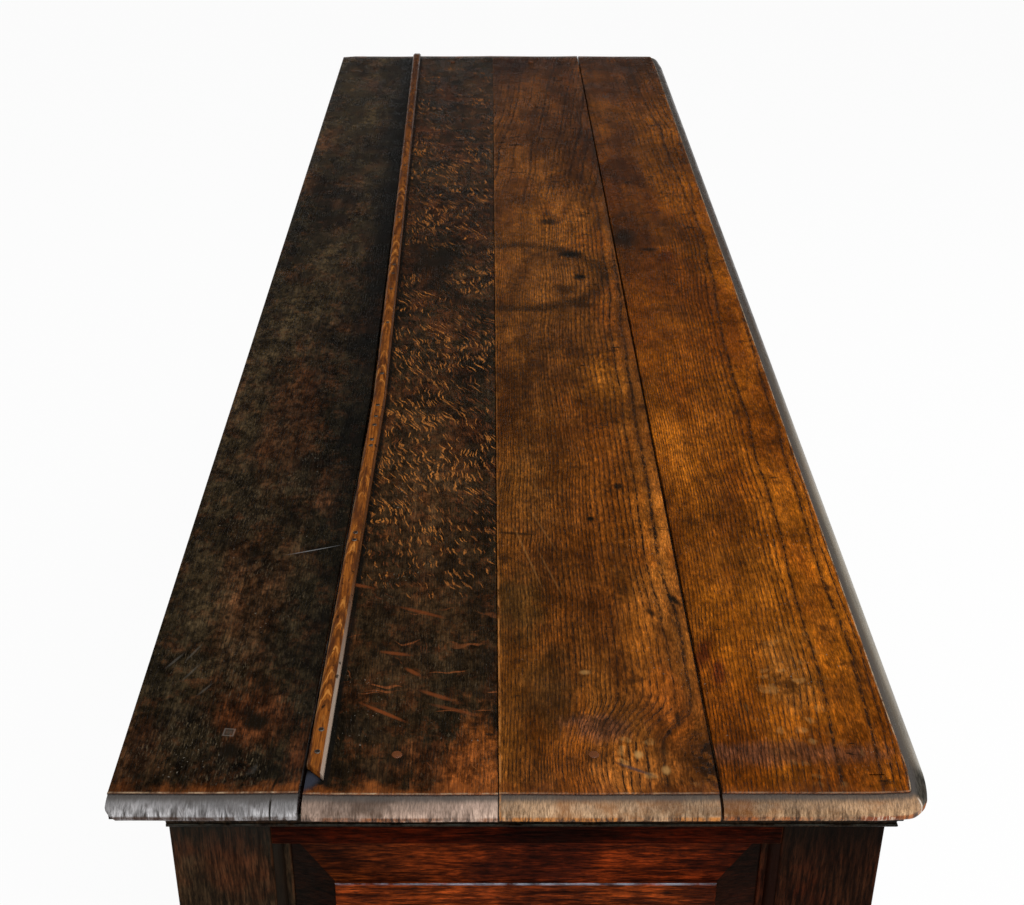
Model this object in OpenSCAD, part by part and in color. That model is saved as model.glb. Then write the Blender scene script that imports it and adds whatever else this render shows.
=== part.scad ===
// Low oak dresser: a planked top with a nailed plate strip, on a joined and panelled carcase
// with three frieze drawers over two cupboards and a fixed centre panel.
// The length runs along X, the front faces -Y, and the feet stand on Z = 0.

/* [Overall] */
// Length of the top from end to end
top_length = 1820; // [1600:10:2000]
// Depth of the top from front to back
top_depth = 526; // [500:1:560]
// Height of the top's surface above the floor
height = 840; // [800:5:880]

/* [Top boards] */
// Thickness of the boards
top_thick = 18; // [16:0.5:20]
// From the back edge to the open joint at its left end
joint_left = 124; // [118:1:128]
// From the back edge to the open joint where the boards bow forward
joint_bow = 133; // [126:1:136]
// From the back edge to the open joint at its right end
joint_right = 116; // [114:1:128]
// From the left end of the top to that bow
bow_at = 556; // [400:1:800]
// From the back edge to the second joint
second_joint = 248; // [235:1:260]
// From the back edge to the third joint
third_joint = 389; // [375:1:400]
// Open joint between the rear and the second board
rear_joint = 3; // [1:0.5:5]
// Tight joint between the second and the third board
middle_joint = 0.3; // [0.2:0.1:1]
// Shrunk joint between the third and the front board
front_joint = 1.6; // [0.5:0.1:3]
// How much shorter the rear board is at each end
rear_board_short = 1.5; // [0:0.5:3]
// How far the top stands out past the carcase at each end
end_overhang = 20; // [18:1:30]
// How far the top stands out past the carcase at the front
front_overhang = 26; // [18:1:30]
// How far the top stands out past the carcase at the back
rear_overhang = 34; // [10:1:40]

/* [Edge moulding] */
// Width of the thumb moulding, seen from above
edge_run = 12.5; // [10:0.5:13]
// Small step down from the surface to the thumb
edge_step = 2; // [1:0.5:3]
// Depth from the surface to the widest point of the thumb
edge_belly = 10; // [7:0.5:11]
// Depth from the surface to the underside of the thumb
edge_depth = 14; // [11.5:0.5:15]
// How far the lower fillet stands back from the thumb
edge_quirk = 8; // [5:0.5:9]
// Rounding of the front corners, seen from above
corner_radius = 19; // [14:1:24]

/* [Plate strip] */
// Width of the nailed strip
strip_w = 12; // [10:0.5:16]
// Height of the strip above the boards
strip_h = 6; // [4:0.5:8]
// Chamfer along its two upper edges
strip_chamfer = 2; // [1:0.5:2.5]
// From the left end of the top to the strip's mitred tip
strip_start = 23; // [15:1:60]
// From the right end of the top to the strip's other tip
strip_end = 6; // [4:1:20]
// Radius of the nails' shanks
nail_r = 1; // [0.8:0.1:1.3]
// Radius of the nails' heads
nail_head_r = 1.7; // [1.5:0.1:2.2]

/* [Bed moulding] */
// Height of the moulding under the top
bed_h = 13.5; // [12:0.5:16]
// How far its upper fillet stands out from the carcase
bed_out = 8.5; // [7.5:0.5:10]
// How far its foot stands out from the carcase
bed_foot = 6; // [5:0.5:7]
// Height of its foot
bed_foot_h = 3; // [2.5:0.5:4]
// Height of its upper fillet
bed_fillet = 5.5; // [4:0.5:6]

/* [Carcase] */
// Width of a post, seen from the front
post_w = 60; // [55:1:70]
// Plain width of a post, seen from the end
post_flat = 66; // [60:1:72]
// Thickness of the front rails, muntins and doors
frame_thick = 25; // [23:0.5:28]
// Thickness of an end's top rail, which takes the pegs of the top
end_top_rail_thick = 42; // [38:1:48]
// Thickness of the rear rails
rear_rail_thick = 25; // [22:1:30]
// Height of the feet under the bottom rails
foot_h = 110; // [90:5:130]
// Height of the bottom rails
bottom_rail_h = 80; // [70:1:95]
// Height of the rail under the drawers
drawer_rail_h = 30; // [28:1:36]
// Height of the top rails
top_rail_h = 33; // [30:1:38]
// Height of an end's middle rail
mid_rail_h = 52; // [46:1:60]
// Height of the drawer openings
drawer_opening = 150; // [135:1:165]
// Width of the muntins between the bays
muntin_w = 60; // [56:1:70]
// Thickness of the back boards
back_thick = 10; // [8:0.5:12]
// Number of back boards
back_count = 8; // [6:1:10]
// Gap between back boards
back_gap = 1.5; // [0.5:0.5:3]
// Thickness of the floor boards
floor_thick = 12; // [10:1:15]
// Number of floor boards
floor_count = 9; // [7:1:11]
// Side of the square cleats under the floor
cleat = 20; // [16:1:24]
// Drop from the bottom rails' upper edge to the floor boards
floor_drop = 6; // [2:1:12]

/* [Joinery] */
// Thickness of the tenons
tenon_t = 9; // [8:0.5:10]
// Set-back of the tenons and grooves from a frame's face
tenon_set = 10; // [9.5:0.5:11]
// Length of the rails' tenons
tenon_l = 32; // [28:1:36]
// Length of the muntins' tenons
stub_tenon = 11; // [9:1:12]
// Shoulder above and below the tenons of the narrow rails
narrow_shoulder = 5; // [4:0.5:6]
// Room at the end of a tenon
tenon_room = 0.5; // [0.2:0.1:1]
// Width of the moulding run on the stiles' inner edges
stuck_w = 11; // [10:0.5:12]
// Depth of that moulding
stuck_d = 8; // [7:0.5:9]
// Step at the start of that moulding
stuck_step = 1.5; // [1:0.5:2]
// Radius of the oak pegs
peg_r = 3.5; // [3:0.1:4]
// Length of the oak pegs
peg_l = 22; // [20:1:24]
// Length of the pegs that hold the top
top_peg_l = 42; // [34:1:44]
// How far the pegs stand proud
peg_proud = 0.6; // [0:0.1:1]
// Room round a peg
peg_room = 0.05; // [0.02:0.01:0.1]
// From the end of the top to the pegs that hold it
top_peg_set = 49; // [46:1:52]

/* [Panels] */
// Depth of the grooves that hold the panels
groove_d = 9; // [8:0.5:10]
// Width of those grooves
groove_w = 6; // [5:0.5:7]
// Room before and behind a panel in its groove
groove_room = 0.1; // [0.05:0.05:0.2]
// How far a panel enters its groove
tongue_in = 7.5; // [6:0.5:7.5]
// Width of the bevel beside the stiles
bevel_side = 28; // [25:1:40]
// Width of the bevel beside the rails
bevel_rail = 39; // [25:1:42]
// Rise of the bevel
bevel_rise = 4; // [3:0.5:5]
// Height of the small step round the raised field
field_step = 3; // [2:0.5:3.5]

/* [Drawers] */
// Gap round a drawer front inside its opening
drawer_gap = 1.5; // [1:0.1:2]
// How far a drawer's lip covers the frame
lip_cover = 6; // [5:0.5:8]
// Thickness of the lip
lip_t = 8; // [7:0.5:9]
// Gap between the lip and the frame
lip_gap = 0.3; // [0.2:0.1:0.5]
// Thickness of a drawer front behind its lip
front_body = 15; // [14:0.5:18]
// How far the sides' dovetails enter the front
lap = 12; // [10:0.5:13]
// Thickness of the drawer sides and back
side_t = 10; // [9:0.5:12]
// Thickness of the drawer bottoms
bottom_t = 7; // [6:0.5:8]
// Height of a drawer bottom above the sides' lower edges
bottom_lift = 9; // [7:0.5:11]
// How far a drawer bottom enters its grooves
bottom_in = 4; // [3:0.5:5]
// Room between a drawer and the back of the carcase
drawer_back_room = 14; // [8:1:30]
// Room above the drawer sides
side_room = 8; // [5:1:12]
// Running gap under the drawer sides
run_gap = 0.3; // [0.2:0.1:0.5]
// Number of dovetails at each corner
tails = 3; // [2:1:4]
// Slope of the dovetails' cheeks
tail_slope = 0.18; // [0.12:0.01:0.22]
// Width of the ledge under a drawer side
runner_ledge = 16; // [14:1:20]
// Height of the guide beside a drawer side
guide_h = 16; // [12:1:24]

/* [Drawer handles] */
// From a drawer's centre line to each of its handles
handle_from_centre = 125; // [110:1:140]
// From a handle's centre to each of its pommels
pommel_x = 38; // [36:1:42]
// From the drawer's face to the centre of a pommel's bulb
pommel_out = 17; // [15:0.5:19]
// Radius of a pommel's bulb
bulb_r = 7; // [6.5:0.1:7.5]
// Radius of the pommels' shanks
shank_r = 2.5; // [2:0.1:3]
// Radius of the bail's wire
wire_r = 2.5; // [2.2:0.1:2.8]
// Radial play of the bail in its pommels
bail_play = 0.07; // [0.05:0.01:0.09]
// Drop of the bail's grip below its pivots
bail_drop = 24; // [22:1:28]
// Bend radius at the bail's neck
neck_r = 5; // [4:0.5:5.5]
// Bend radius at the bail's lower corners
bend_r = 12; // [9:0.5:14]
// Thickness of the back plates
plate_t = 1.5; // [1:0.1:2]
// Height of the back plates at their middle
plate_h = 58; // [52:1:62]

/* [Doors] */
// Gap round the doors
door_gap = 2.5; // [2:0.1:3]
// Plain width of a door stile
door_stile = 46; // [42:1:56]
// Height of a door's rails
door_rail = 54; // [48:1:64]
// Length of the tenons of a door's rails
door_tenon = 30; // [24:1:34]
// Radius of the hinges' barrels
barrel_r = 3.4; // [3:0.1:4]
// Radius of the hinges' pins
pin_r = 1.6; // [1.3:0.1:1.8]
// Radial play of the hinges' pins
pin_play = 0.05; // [0.03:0.01:0.08]
// Thickness of the hinges' leaves
leaf_t = 1.8; // [1.5:0.1:2.2]
// Width of the hinges' leaves
leaf_w = 24; // [20:1:28]
// Height of the hinges' leaves
leaf_h = 96; // [84:2:110]
// From a door's edge to the middle of each hinge
hinge_set = 80; // [70:1:100]
// From a door's free edge to its knob
knob_set = 28; // [24:1:36]
// Radius of a door's knob
knob_r = 12; // [10:0.5:14]
// Length of the catch that turns with the knob
catch_l = 46; // [42:1:52]
// Thickness of the catch
catch_t = 4; // [3:0.5:5]

/* [Hidden] */
$fn = 48;

// Carcase length and depth, and its faces along Y
carcase_l = top_length - 2 * end_overhang;
carcase_d = top_depth - front_overhang - rear_overhang;
half_l = carcase_l / 2;
handle_reach = lip_gap + lip_t + plate_t + pommel_out + bulb_r;
front_reach = max(front_overhang, handle_reach);
y_face = -(front_reach + carcase_d + rear_overhang) / 2 + front_reach;
y_rear = y_face + carcase_d;
top_front = y_face - front_overhang;
top_rear = y_rear + rear_overhang;
y_back_boards = y_rear - back_thick;
y_inside_rear = y_back_boards - rear_rail_thick;

// Heights of the frame
frame_top = height - top_thick;
z_top_rail = frame_top - top_rail_h;
z_drawers = z_top_rail - drawer_opening;
z_drawer_rail = z_drawers - drawer_rail_h;
z_floor_rail = foot_h + bottom_rail_h;
z_mid_rail = z_drawer_rail + drawer_rail_h / 2 - mid_rail_h / 2;
z_floor = z_floor_rail - floor_drop;
bottom_rail = [foot_h, bottom_rail_h];
drawer_rail = [z_drawer_rail, drawer_rail_h];
top_rail = [z_top_rail, top_rail_h];
mid_rail = [z_mid_rail, mid_rail_h];
front_rails = [bottom_rail, drawer_rail, top_rail];
end_rails = [bottom_rail, mid_rail, top_rail];
end_zones = [[z_floor_rail, z_mid_rail], [z_mid_rail + mid_rail_h, z_top_rail]];

// Bays along the front, from left to right
bay_w = (carcase_l - 2 * post_w - 2 * muntin_w) / 3;
function bay_x(i) = -half_l + post_w + i * (bay_w + muntin_w);
function muntin_x(i) = bay_x(i) + bay_w;
post_d = post_flat + stuck_w;
panel_back = tenon_set + groove_w - groove_room;
panel_rim = tenon_set + groove_room;

// A small overrun that lets a cutter break a surface cleanly
over = 1;
far = 100;

// A box between two corners
module block(low, high) {
    translate(low) cube(high - low);
}

// A copy at the left, and its mirror image at the right
module both_sides() {
    children();
    mirror([1, 0, 0]) children();
}

// Edge moulding of the top

// Outline of the moulded edge: x is the distance from the centre of a corner's rounding
module edge_section() {
    steps = 10;
    out = corner_radius;
    belly = [for (i = [0:steps]) let (a = 90 * i / steps)
        [out - edge_run + edge_run * sin(a), -edge_step - (edge_belly - edge_step) * (1 - cos(a))]];
    round_in = edge_depth - edge_belly;
    under = [for (i = [1:steps / 2]) let (a = 180 * i / steps)
        [out - round_in * (1 - cos(a)) * 0.8, -edge_belly - round_in * sin(a)]];
    polygon(concat(
        [[0, -top_thick], [0, 0], [out - edge_run, 0]],
        belly,
        under,
        [[out - edge_quirk, -edge_depth], [out - edge_quirk, -top_thick]]
    ));
}

// The whole top in one piece, moulded along its front and both ends
module top_slab(shorten = 0) {
    x_core = top_length / 2 - corner_radius - shorten;
    y_core = top_front + corner_radius;
    translate([0, 0, height]) {
        block([-x_core, y_core, -top_thick], [x_core, top_rear, 0]);
        translate([-x_core, y_core, 0]) rotate([90, 0, 90]) mirror([1, 0, 0])
            linear_extrude(2 * x_core) edge_section();
        both_sides() {
            translate([x_core, top_rear, 0]) rotate([90, 0, 0])
                linear_extrude(top_rear - y_core) edge_section();
            translate([x_core, y_core, 0]) rotate([0, 0, -90]) rotate_extrude(angle = 90) edge_section();
        }
    }
}

// Points of the open joint's front side, from the left end to the right end
left_x = -top_length / 2;
open_joint = [[left_x, top_rear - joint_left], [left_x + bow_at, top_rear - joint_bow], [-left_x, top_rear - joint_right]];

// One board of the top: what lies within an outline seen from above
module top_board(outline, shorten = 0) {
    color("saddlebrown") difference() {
        intersection() {
            top_slab(shorten);
            translate([0, 0, frame_top - over]) linear_extrude(top_thick + 2 * over) polygon(outline);
        }
        top_peg_places() top_peg_hole();
    }
}

// A rectangle across the whole top, between two distances from the back edge
function band(from_back, to_back) = [
    [left_x - over, top_rear - from_back], [left_x - over, top_rear - to_back],
    [over - left_x, top_rear - to_back], [over - left_x, top_rear - from_back]
];

module top_board_rear() {
    top_board(concat(
        [for (p = open_joint) p + [0, rear_joint]],
        [[-left_x, top_rear + over], [left_x, top_rear + over]]
    ), rear_board_short);
}

module top_board_second() {
    top_board(concat(open_joint, [[-left_x, top_rear - second_joint], [left_x, top_rear - second_joint]]));
}

module top_board_third() top_board(band(second_joint + middle_joint, third_joint));
module top_board_front() top_board(band(third_joint + front_joint, top_depth + over));

// Pegs that hold the second and third boards down to the ends' top rails
module top_peg_places() {
    for (from_back = [second_joint - 66, second_joint + 63])
        both_sides() translate([-top_length / 2 + top_peg_set, top_rear - from_back, height]) children();
}

module top_peg_hole() {
    translate([0, 0, -top_peg_l - tenon_room]) cylinder(r = peg_r + peg_room, h = top_peg_l + over);
}

// Plate strip

// Section of the strip, with its back edge at x = 0 and its foot at y = 0
module strip_section() {
    c = strip_chamfer;
    polygon([[0, 0], [strip_w, 0], [strip_w, strip_h - c], [strip_w - c, strip_h], [c, strip_h], [0, strip_h - c]]);
}

// One straight length of the strip between two points of its back edge, with longer ends to cut
module strip_length(from, to) {
    run = to - from;
    spare = 3 * strip_w;
    angle = atan2(run.y, run.x);
    translate([from.x - spare * cos(angle), from.y - spare * sin(angle), height]) rotate([0, 0, angle])
        rotate([90, 0, 90]) mirror([1, 0, 0]) linear_extrude(norm(run) + 2 * spare) strip_section();
}

// The strip lies along the second board's back edge; its left tip is cut at 45 degrees,
// and a key inside it makes its two lengths one piece where they meet
module plate_strip() {
    bow = open_joint[1];
    tip = left_x + strip_start;
    y_tip = open_joint[0].y - strip_w;
    deep = 4 * strip_w;
    key = strip_h / 3;
    color("peru") difference() {
        union() {
            intersection() {
                strip_length(open_joint[0], bow);
                translate([0, 0, height - over]) linear_extrude(strip_h + 2 * over) polygon([
                    [tip + deep, y_tip + deep], [tip - deep, y_tip - deep], [bow.x, y_tip - deep], [bow.x, y_tip + deep]
                ]);
            }
            intersection() {
                strip_length(bow, open_joint[2]);
                block([bow.x, bow.y - deep, height - over], [-left_x - strip_end, bow.y + deep, height + strip_h + over]);
            }
            translate([bow.x, bow.y - strip_w / 2, height + strip_h / 2]) cube([2 * key, key, key], center = true);
        }
        nail_places() translate([0, 0, -2 * strip_h]) cylinder(r = nail_r + peg_room, h = 4 * strip_h);
    }
}

// The nails stand in the middle of the strip, at these shares of its left and its right length
left_nails = [0.08, 0.12, 0.54, 0.56, 0.82, 0.84, 0.89, 0.92, 0.96];
right_nails = [0.035, 0.13, 0.2, 0.235, 0.255, 0.375, 0.39, 0.53, 0.67, 0.68, 0.82, 0.96];
module nail_places() {
    bow = open_joint[1];
    middle = [0, -strip_w / 2];
    for (s = left_nails) translate(open_joint[0] + s * (bow - open_joint[0]) + middle)
        translate([0, 0, height + strip_h]) children();
    for (s = right_nails) translate(bow + s * (open_joint[2] - bow) + middle)
        translate([0, 0, height + strip_h]) children();
}

module plate_strip_nails() {
    color("dimgray") nail_places() {
        cylinder(r = nail_head_r, h = 0.6);
        translate([0, 0, -strip_h]) cylinder(r = nail_r, h = strip_h);
    }
}

// Bed moulding under the top

// Section of the bed moulding: x stands out from the carcase, and y = 0 is its top
module bed_section() {
    cove = bed_h - bed_foot_h - bed_fillet;
    hollow = bed_out - bed_foot + 1;
    steps = 8;
    curve = [for (i = [0:steps]) let (a = 90 * i / steps)
        [bed_out - hollow * sin(a), -bed_h + bed_foot_h + cove * cos(a)]];
    difference() {
        polygon(concat([[0, 0], [bed_out, 0]], curve, [[bed_foot, -bed_h + bed_foot_h], [bed_foot, -bed_h], [0, -bed_h]]));
        translate([bed_foot - 2, -bed_h - over]) difference() {
            square([2 + over, 2 + over]);
            translate([0, 2 + over]) circle(r = 2);
        }
    }
}

// Three lengths, mitred at the front corners
module bed_mouldings() {
    spare = 2 * bed_out;
    color("sienna") translate([0, 0, frame_top]) {
        intersection() {
            translate([-half_l - spare, y_face, 0]) rotate([90, 0, 90]) mirror([1, 0, 0])
                linear_extrude(carcase_l + 2 * spare) bed_section();
            translate([0, 0, -bed_h - over]) linear_extrude(bed_h + 2 * over) polygon([
                [-half_l, y_face], [half_l, y_face], [half_l + spare, y_face - spare], [-half_l - spare, y_face - spare]
            ]);
        }
        both_sides() intersection() {
            translate([half_l, y_rear, 0]) rotate([90, 0, 0])
                linear_extrude(carcase_d + spare) bed_section();
            translate([0, 0, -bed_h - over]) linear_extrude(bed_h + 2 * over) polygon([
                [half_l, y_face], [half_l + spare, y_face - spare],
                [half_l + spare, y_rear], [half_l, y_rear]
            ]);
        }
    }
}

// Frame joinery

// Section of a stile with a moulding and a panel groove on its inner edge:
// x is the depth from the face, and y runs from the outer edge towards the panel
module stile_section(flat, thick) {
    edge = flat + stuck_w;
    difference() {
        square([thick, edge]);
        difference() {
            translate([-over, flat]) square([stuck_d + over, stuck_w + over]);
            translate([stuck_d, flat]) circle(r = stuck_d - stuck_step);
        }
        translate([tenon_set, edge - groove_d]) square([groove_w, groove_d + over]);
    }
}

// Lowest and highest point of a rail's tenon
function tenon_low(rail, shoulder) = rail[0] + shoulder;
function tenon_high(rail, shoulder) = rail[0] + rail[1] - shoulder;

// A tenon's space in a frame: the face lies at x = 0 with depth along +X, and the tenon points along -Y
module tenon_space(rail, shoulder, long) {
    block([tenon_set, -long, tenon_low(rail, shoulder)], [tenon_set + tenon_t, 0, tenon_high(rail, shoulder)]);
}

// Posts

// The front post at the left: the end frame's face is x = -half_l
module front_post_solid() {
    difference() {
        translate([-half_l, y_face, 0]) post_blank();
        for (rail = front_rails)
            block([-half_l + post_w - tenon_l - tenon_room, y_face + tenon_set, tenon_low(rail, narrow_shoulder)],
                [-half_l + post_w + over, y_face + tenon_set + tenon_t, tenon_high(rail, narrow_shoulder)]);
        front_peg_places() peg_hole();
        end_peg_places() peg_hole();
    }
}

// The rear post at the left
module rear_post_solid() {
    difference() {
        translate([-half_l, y_rear, 0]) mirror([0, 1, 0]) post_blank();
        for (rail = front_rails)
            block([-half_l + post_w - tenon_l - tenon_room, rear_tenon_y, tenon_low(rail, narrow_shoulder)],
                [-half_l + post_w + over, rear_tenon_y + tenon_t, tenon_high(rail, narrow_shoulder)]);
        end_peg_places() peg_hole();
    }
}

// Rear rails stand in front of the back boards
rear_tenon_y = y_inside_rear + (rear_rail_thick - tenon_t) / 2;

// A post with its moulded strips beside the end panels and the mortises of the end rails,
// with its outer corner at the origin
module post_blank() {
    difference() {
        union() {
            cube([post_w, post_flat, frame_top]);
            for (zone = end_zones) translate([0, 0, zone[0]])
                linear_extrude(zone[1] - zone[0]) stile_section(post_flat, post_w);
        }
        for (rail = end_rails) translate([0, post_flat, 0])
            tenon_space(rail, groove_d + over, tenon_l + tenon_room);
    }
}

module post_front_left() color("saddlebrown") front_post_solid();
module post_front_right() color("saddlebrown") mirror([1, 0, 0]) front_post_solid();
module post_rear_left() color("saddlebrown") rear_post_solid();
module post_rear_right() color("saddlebrown") mirror([1, 0, 0]) rear_post_solid();

// Front frame

// A rail of the front frame, with a tenon at each end
module front_rail(rail) {
    reach = half_l - post_w;
    block([-reach, y_face, rail[0]], [reach, y_face + frame_thick, rail[0] + rail[1]]);
    block([-reach - tenon_l, y_face + tenon_set, tenon_low(rail, narrow_shoulder)],
        [reach + tenon_l, y_face + tenon_set + tenon_t, tenon_high(rail, narrow_shoulder)]);
}

// Space of the muntins' stub tenons in a rail, above or below it
stub_inset = 6;
stub_w = muntin_w - stuck_w - 2 * stub_inset;
module stub_spaces(z_low, z_high) {
    both_sides() translate([-bay_w / 2 - muntin_w + stub_inset, y_face + tenon_set, z_low])
        cube([stub_w, tenon_t, z_high - z_low]);
}

// Groove of the centre panel in a rail
module centre_groove(z_low, z_high) {
    reach = bay_w / 2 + groove_d;
    block([-reach, y_face + tenon_set, z_low], [reach, y_face + tenon_set + groove_w, z_high]);
}

module front_top_rail() {
    color("saddlebrown") difference() {
        front_rail(top_rail);
        stub_spaces(z_top_rail - over, z_top_rail + stub_tenon + tenon_room);
        front_peg_places() peg_hole();
    }
}

module front_drawer_rail() {
    color("saddlebrown") difference() {
        front_rail(drawer_rail);
        stub_spaces(z_drawers - stub_tenon - tenon_room, z_drawers + over);
        stub_spaces(z_drawer_rail - over, z_drawer_rail + stub_tenon + tenon_room);
        centre_groove(z_drawer_rail - over, z_drawer_rail + groove_d);
        front_peg_places() peg_hole();
    }
}

module front_bottom_rail() {
    color("saddlebrown") difference() {
        front_rail(bottom_rail);
        stub_spaces(z_floor_rail - stub_tenon - tenon_room, z_floor_rail + over);
        centre_groove(z_floor_rail - groove_d, z_floor_rail + over);
        front_peg_places() peg_hole();
    }
}

// Short muntins between the drawers
module drawer_muntins() {
    color("saddlebrown") {
        both_sides() block([-bay_w / 2 - muntin_w, y_face, z_drawers], [-bay_w / 2, y_face + frame_thick, z_top_rail]);
        stub_spaces(z_drawers - stub_tenon, z_top_rail + stub_tenon);
    }
}

// Muntins between the doors and the centre panel, moulded towards the panel
module door_muntins() {
    color("saddlebrown") both_sides() {
        translate([-bay_w / 2 - muntin_w, y_face, z_floor_rail]) linear_extrude(z_drawer_rail - z_floor_rail)
            mirror([1, -1, 0]) stile_section(muntin_w - stuck_w, frame_thick);
        translate([-bay_w / 2 - muntin_w + stub_inset, y_face + tenon_set, z_floor_rail - stub_tenon])
            cube([stub_w, tenon_t, z_drawer_rail - z_floor_rail + 2 * stub_tenon]);
    }
}

// Fielded panels

// Section across a panel for an opening of width w: y is the depth behind the frame's face
module panel_section(w, bevel) {
    half = w / 2;
    rim = half + tongue_in;
    low = panel_rim - bevel_rise;
    field = low - field_step;
    polygon([
        [-rim, panel_back], [-rim, panel_rim], [-half, panel_rim], [-half + bevel, low], [-half + bevel, field],
        [half - bevel, field], [half - bevel, low], [half, panel_rim], [rim, panel_rim], [rim, panel_back]
    ]);
}

// A panel centred on the origin, facing -Y: raised field, small step and mitred bevels
module fielded_panel(w, h) {
    intersection() {
        translate([0, 0, -h]) linear_extrude(2 * h) panel_section(w, bevel_side);
        translate([-w, 0, 0]) rotate([90, 0, 90]) linear_extrude(2 * w)
            mirror([1, -1, 0]) panel_section(h, bevel_rail);
    }
}

module centre_panel() {
    color("saddlebrown") translate([0, y_face, (z_floor_rail + z_drawer_rail) / 2])
        fielded_panel(bay_w, z_drawer_rail - z_floor_rail);
}

// End frames

end_opening = carcase_d - 2 * post_d;

// The left end's rails, each with a tenon in both posts and a groove towards each panel
module end_rails_solid() {
    for (rail = end_rails) difference() {
        union() {
            thick = rail == top_rail ? end_top_rail_thick : frame_thick;
            block([-half_l, y_face + post_flat, rail[0]], [-half_l + thick, y_rear - post_flat, rail[0] + rail[1]]);
            block([-half_l + tenon_set, y_face + post_flat - tenon_l, tenon_low(rail, groove_d + over)],
                [-half_l + tenon_set + tenon_t, y_rear - post_flat + tenon_l, tenon_high(rail, groove_d + over)]);
        }
        for (zone = end_zones)
            block([-half_l + tenon_set, y_face + post_d - groove_d, zone[0] - groove_d],
                [-half_l + tenon_set + groove_w, y_rear - post_d + groove_d, zone[1] + groove_d]);
        end_peg_places() peg_hole();
        top_peg_places() top_peg_hole();
    }
}

// The left end's two panels, facing -X
module end_panels_solid() {
    for (zone = end_zones)
        translate([-half_l, (y_face + y_rear) / 2, (zone[0] + zone[1]) / 2]) rotate([0, 0, -90])
            fielded_panel(end_opening, zone[1] - zone[0]);
}

module left_end_rails() color("saddlebrown") end_rails_solid();
module right_end_rails() color("saddlebrown") mirror([1, 0, 0]) end_rails_solid();
module left_end_panels() color("saddlebrown") end_panels_solid();
module right_end_panels() color("saddlebrown") mirror([1, 0, 0]) end_panels_solid();

// Pegs

// Heights of the pegs in a rail: one in a narrow rail, two in a wide one
function peg_heights(rail) = rail[1] < 60 ? [rail[0] + rail[1] / 2] : [rail[0] + rail[1] * 0.3, rail[0] + rail[1] * 0.7];

// Pegs of the front frame: children point along +Y, into the wood
module front_peg_places() {
    for (rail = [bottom_rail, drawer_rail]) for (z = peg_heights(rail)) both_sides()
        translate([-half_l + post_w - tenon_l / 2, y_face, z]) rotate([-90, 0, 0]) children();
}

// Pegs of the end frames: children point along +X, into the wood
module end_peg_places() {
    for (rail = [bottom_rail, mid_rail]) for (z = peg_heights(rail)) both_sides()
        for (y = [y_face + post_flat - tenon_l / 2, y_rear - post_flat + tenon_l / 2])
            translate([-half_l, y, z]) rotate([0, 90, 0]) children();
}

module peg_hole() {
    translate([0, 0, -over]) cylinder(r = peg_r + peg_room, h = peg_l + over);
}

module peg() {
    translate([0, 0, -peg_proud]) cylinder(r = peg_r, h = peg_l + peg_proud);
}

module oak_pegs() {
    color("peru") {
        front_peg_places() peg();
        end_peg_places() peg();
        top_peg_places() translate([0, 0, -top_peg_l]) cylinder(r = peg_r, h = top_peg_l + peg_proud / 3);
    }
}

// Back, floor and runners

module rear_rails() {
    reach = half_l - post_w;
    color("tan") for (rail = front_rails) {
        block([-reach, y_inside_rear, rail[0]], [reach, y_back_boards, rail[0] + rail[1]]);
        block([-reach - tenon_l, rear_tenon_y, tenon_low(rail, narrow_shoulder)],
            [reach + tenon_l, rear_tenon_y + tenon_t, tenon_high(rail, narrow_shoulder)]);
    }
}

// Upright boards nailed to the back of the rear rails, between the posts
module back_boards() {
    pitch = (carcase_l - 2 * post_w + back_gap) / back_count;
    color("tan") for (i = [0:back_count - 1])
        translate([-half_l + post_w + i * pitch, y_back_boards, foot_h])
            cube([pitch - back_gap, back_thick, frame_top - foot_h]);
}

// Floor boards from front to back; the outer ones are notched round the posts
module floor_boards() {
    inside = half_l - frame_thick;
    pitch = 2 * inside / floor_count;
    color("tan") difference() {
        for (i = [0:floor_count - 1])
            translate([-inside + i * pitch, y_face + frame_thick, z_floor - floor_thick])
                cube([pitch - (i < floor_count - 1 ? back_gap : 0), y_inside_rear - y_face - frame_thick, floor_thick]);
        both_sides() {
            block([-half_l, y_face, 0], [-half_l + post_w, y_face + post_d, height]);
            block([-half_l, y_rear - post_d, 0], [-half_l + post_w, y_rear, height]);
        }
    }
}

// Square cleats nailed along the bottom rails, under the floor boards
module floor_cleats() {
    reach = half_l - post_w;
    low = z_floor - floor_thick - cleat;
    color("tan") {
        block([-reach, y_face + frame_thick, low], [reach, y_face + frame_thick + cleat, low + cleat]);
        block([-reach, y_inside_rear - cleat, low], [reach, y_inside_rear, low + cleat]);
    }
}

// A ledge for each drawer side with a guide beside it, housed between the front and rear rails
module drawer_runners() {
    y0 = y_face + frame_thick;
    guide = 14;
    color("tan") both_sides() {
        difference() {
            union() {
                block([-half_l + post_w - guide, y0, z_drawer_rail + 4], [-half_l + post_w + runner_ledge, y_inside_rear, z_drawers]);
                block([-half_l + post_w - guide, y0, z_drawers - over], [-half_l + post_w, y_inside_rear, z_drawers + guide_h]);
            }
            block([-half_l, y_face, 0], [-half_l + post_w, y_face + post_d, height]);
            block([-half_l, y_rear - post_d, 0], [-half_l + post_w, y_rear, height]);
        }
        block([-bay_w / 2 - muntin_w - runner_ledge, y0, z_drawer_rail + 4], [-bay_w / 2 + runner_ledge, y_inside_rear, z_drawers]);
        block([-bay_w / 2 - muntin_w, y0, z_drawers - over], [-bay_w / 2, y_inside_rear, z_drawers + guide_h]);
    }
}

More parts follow.
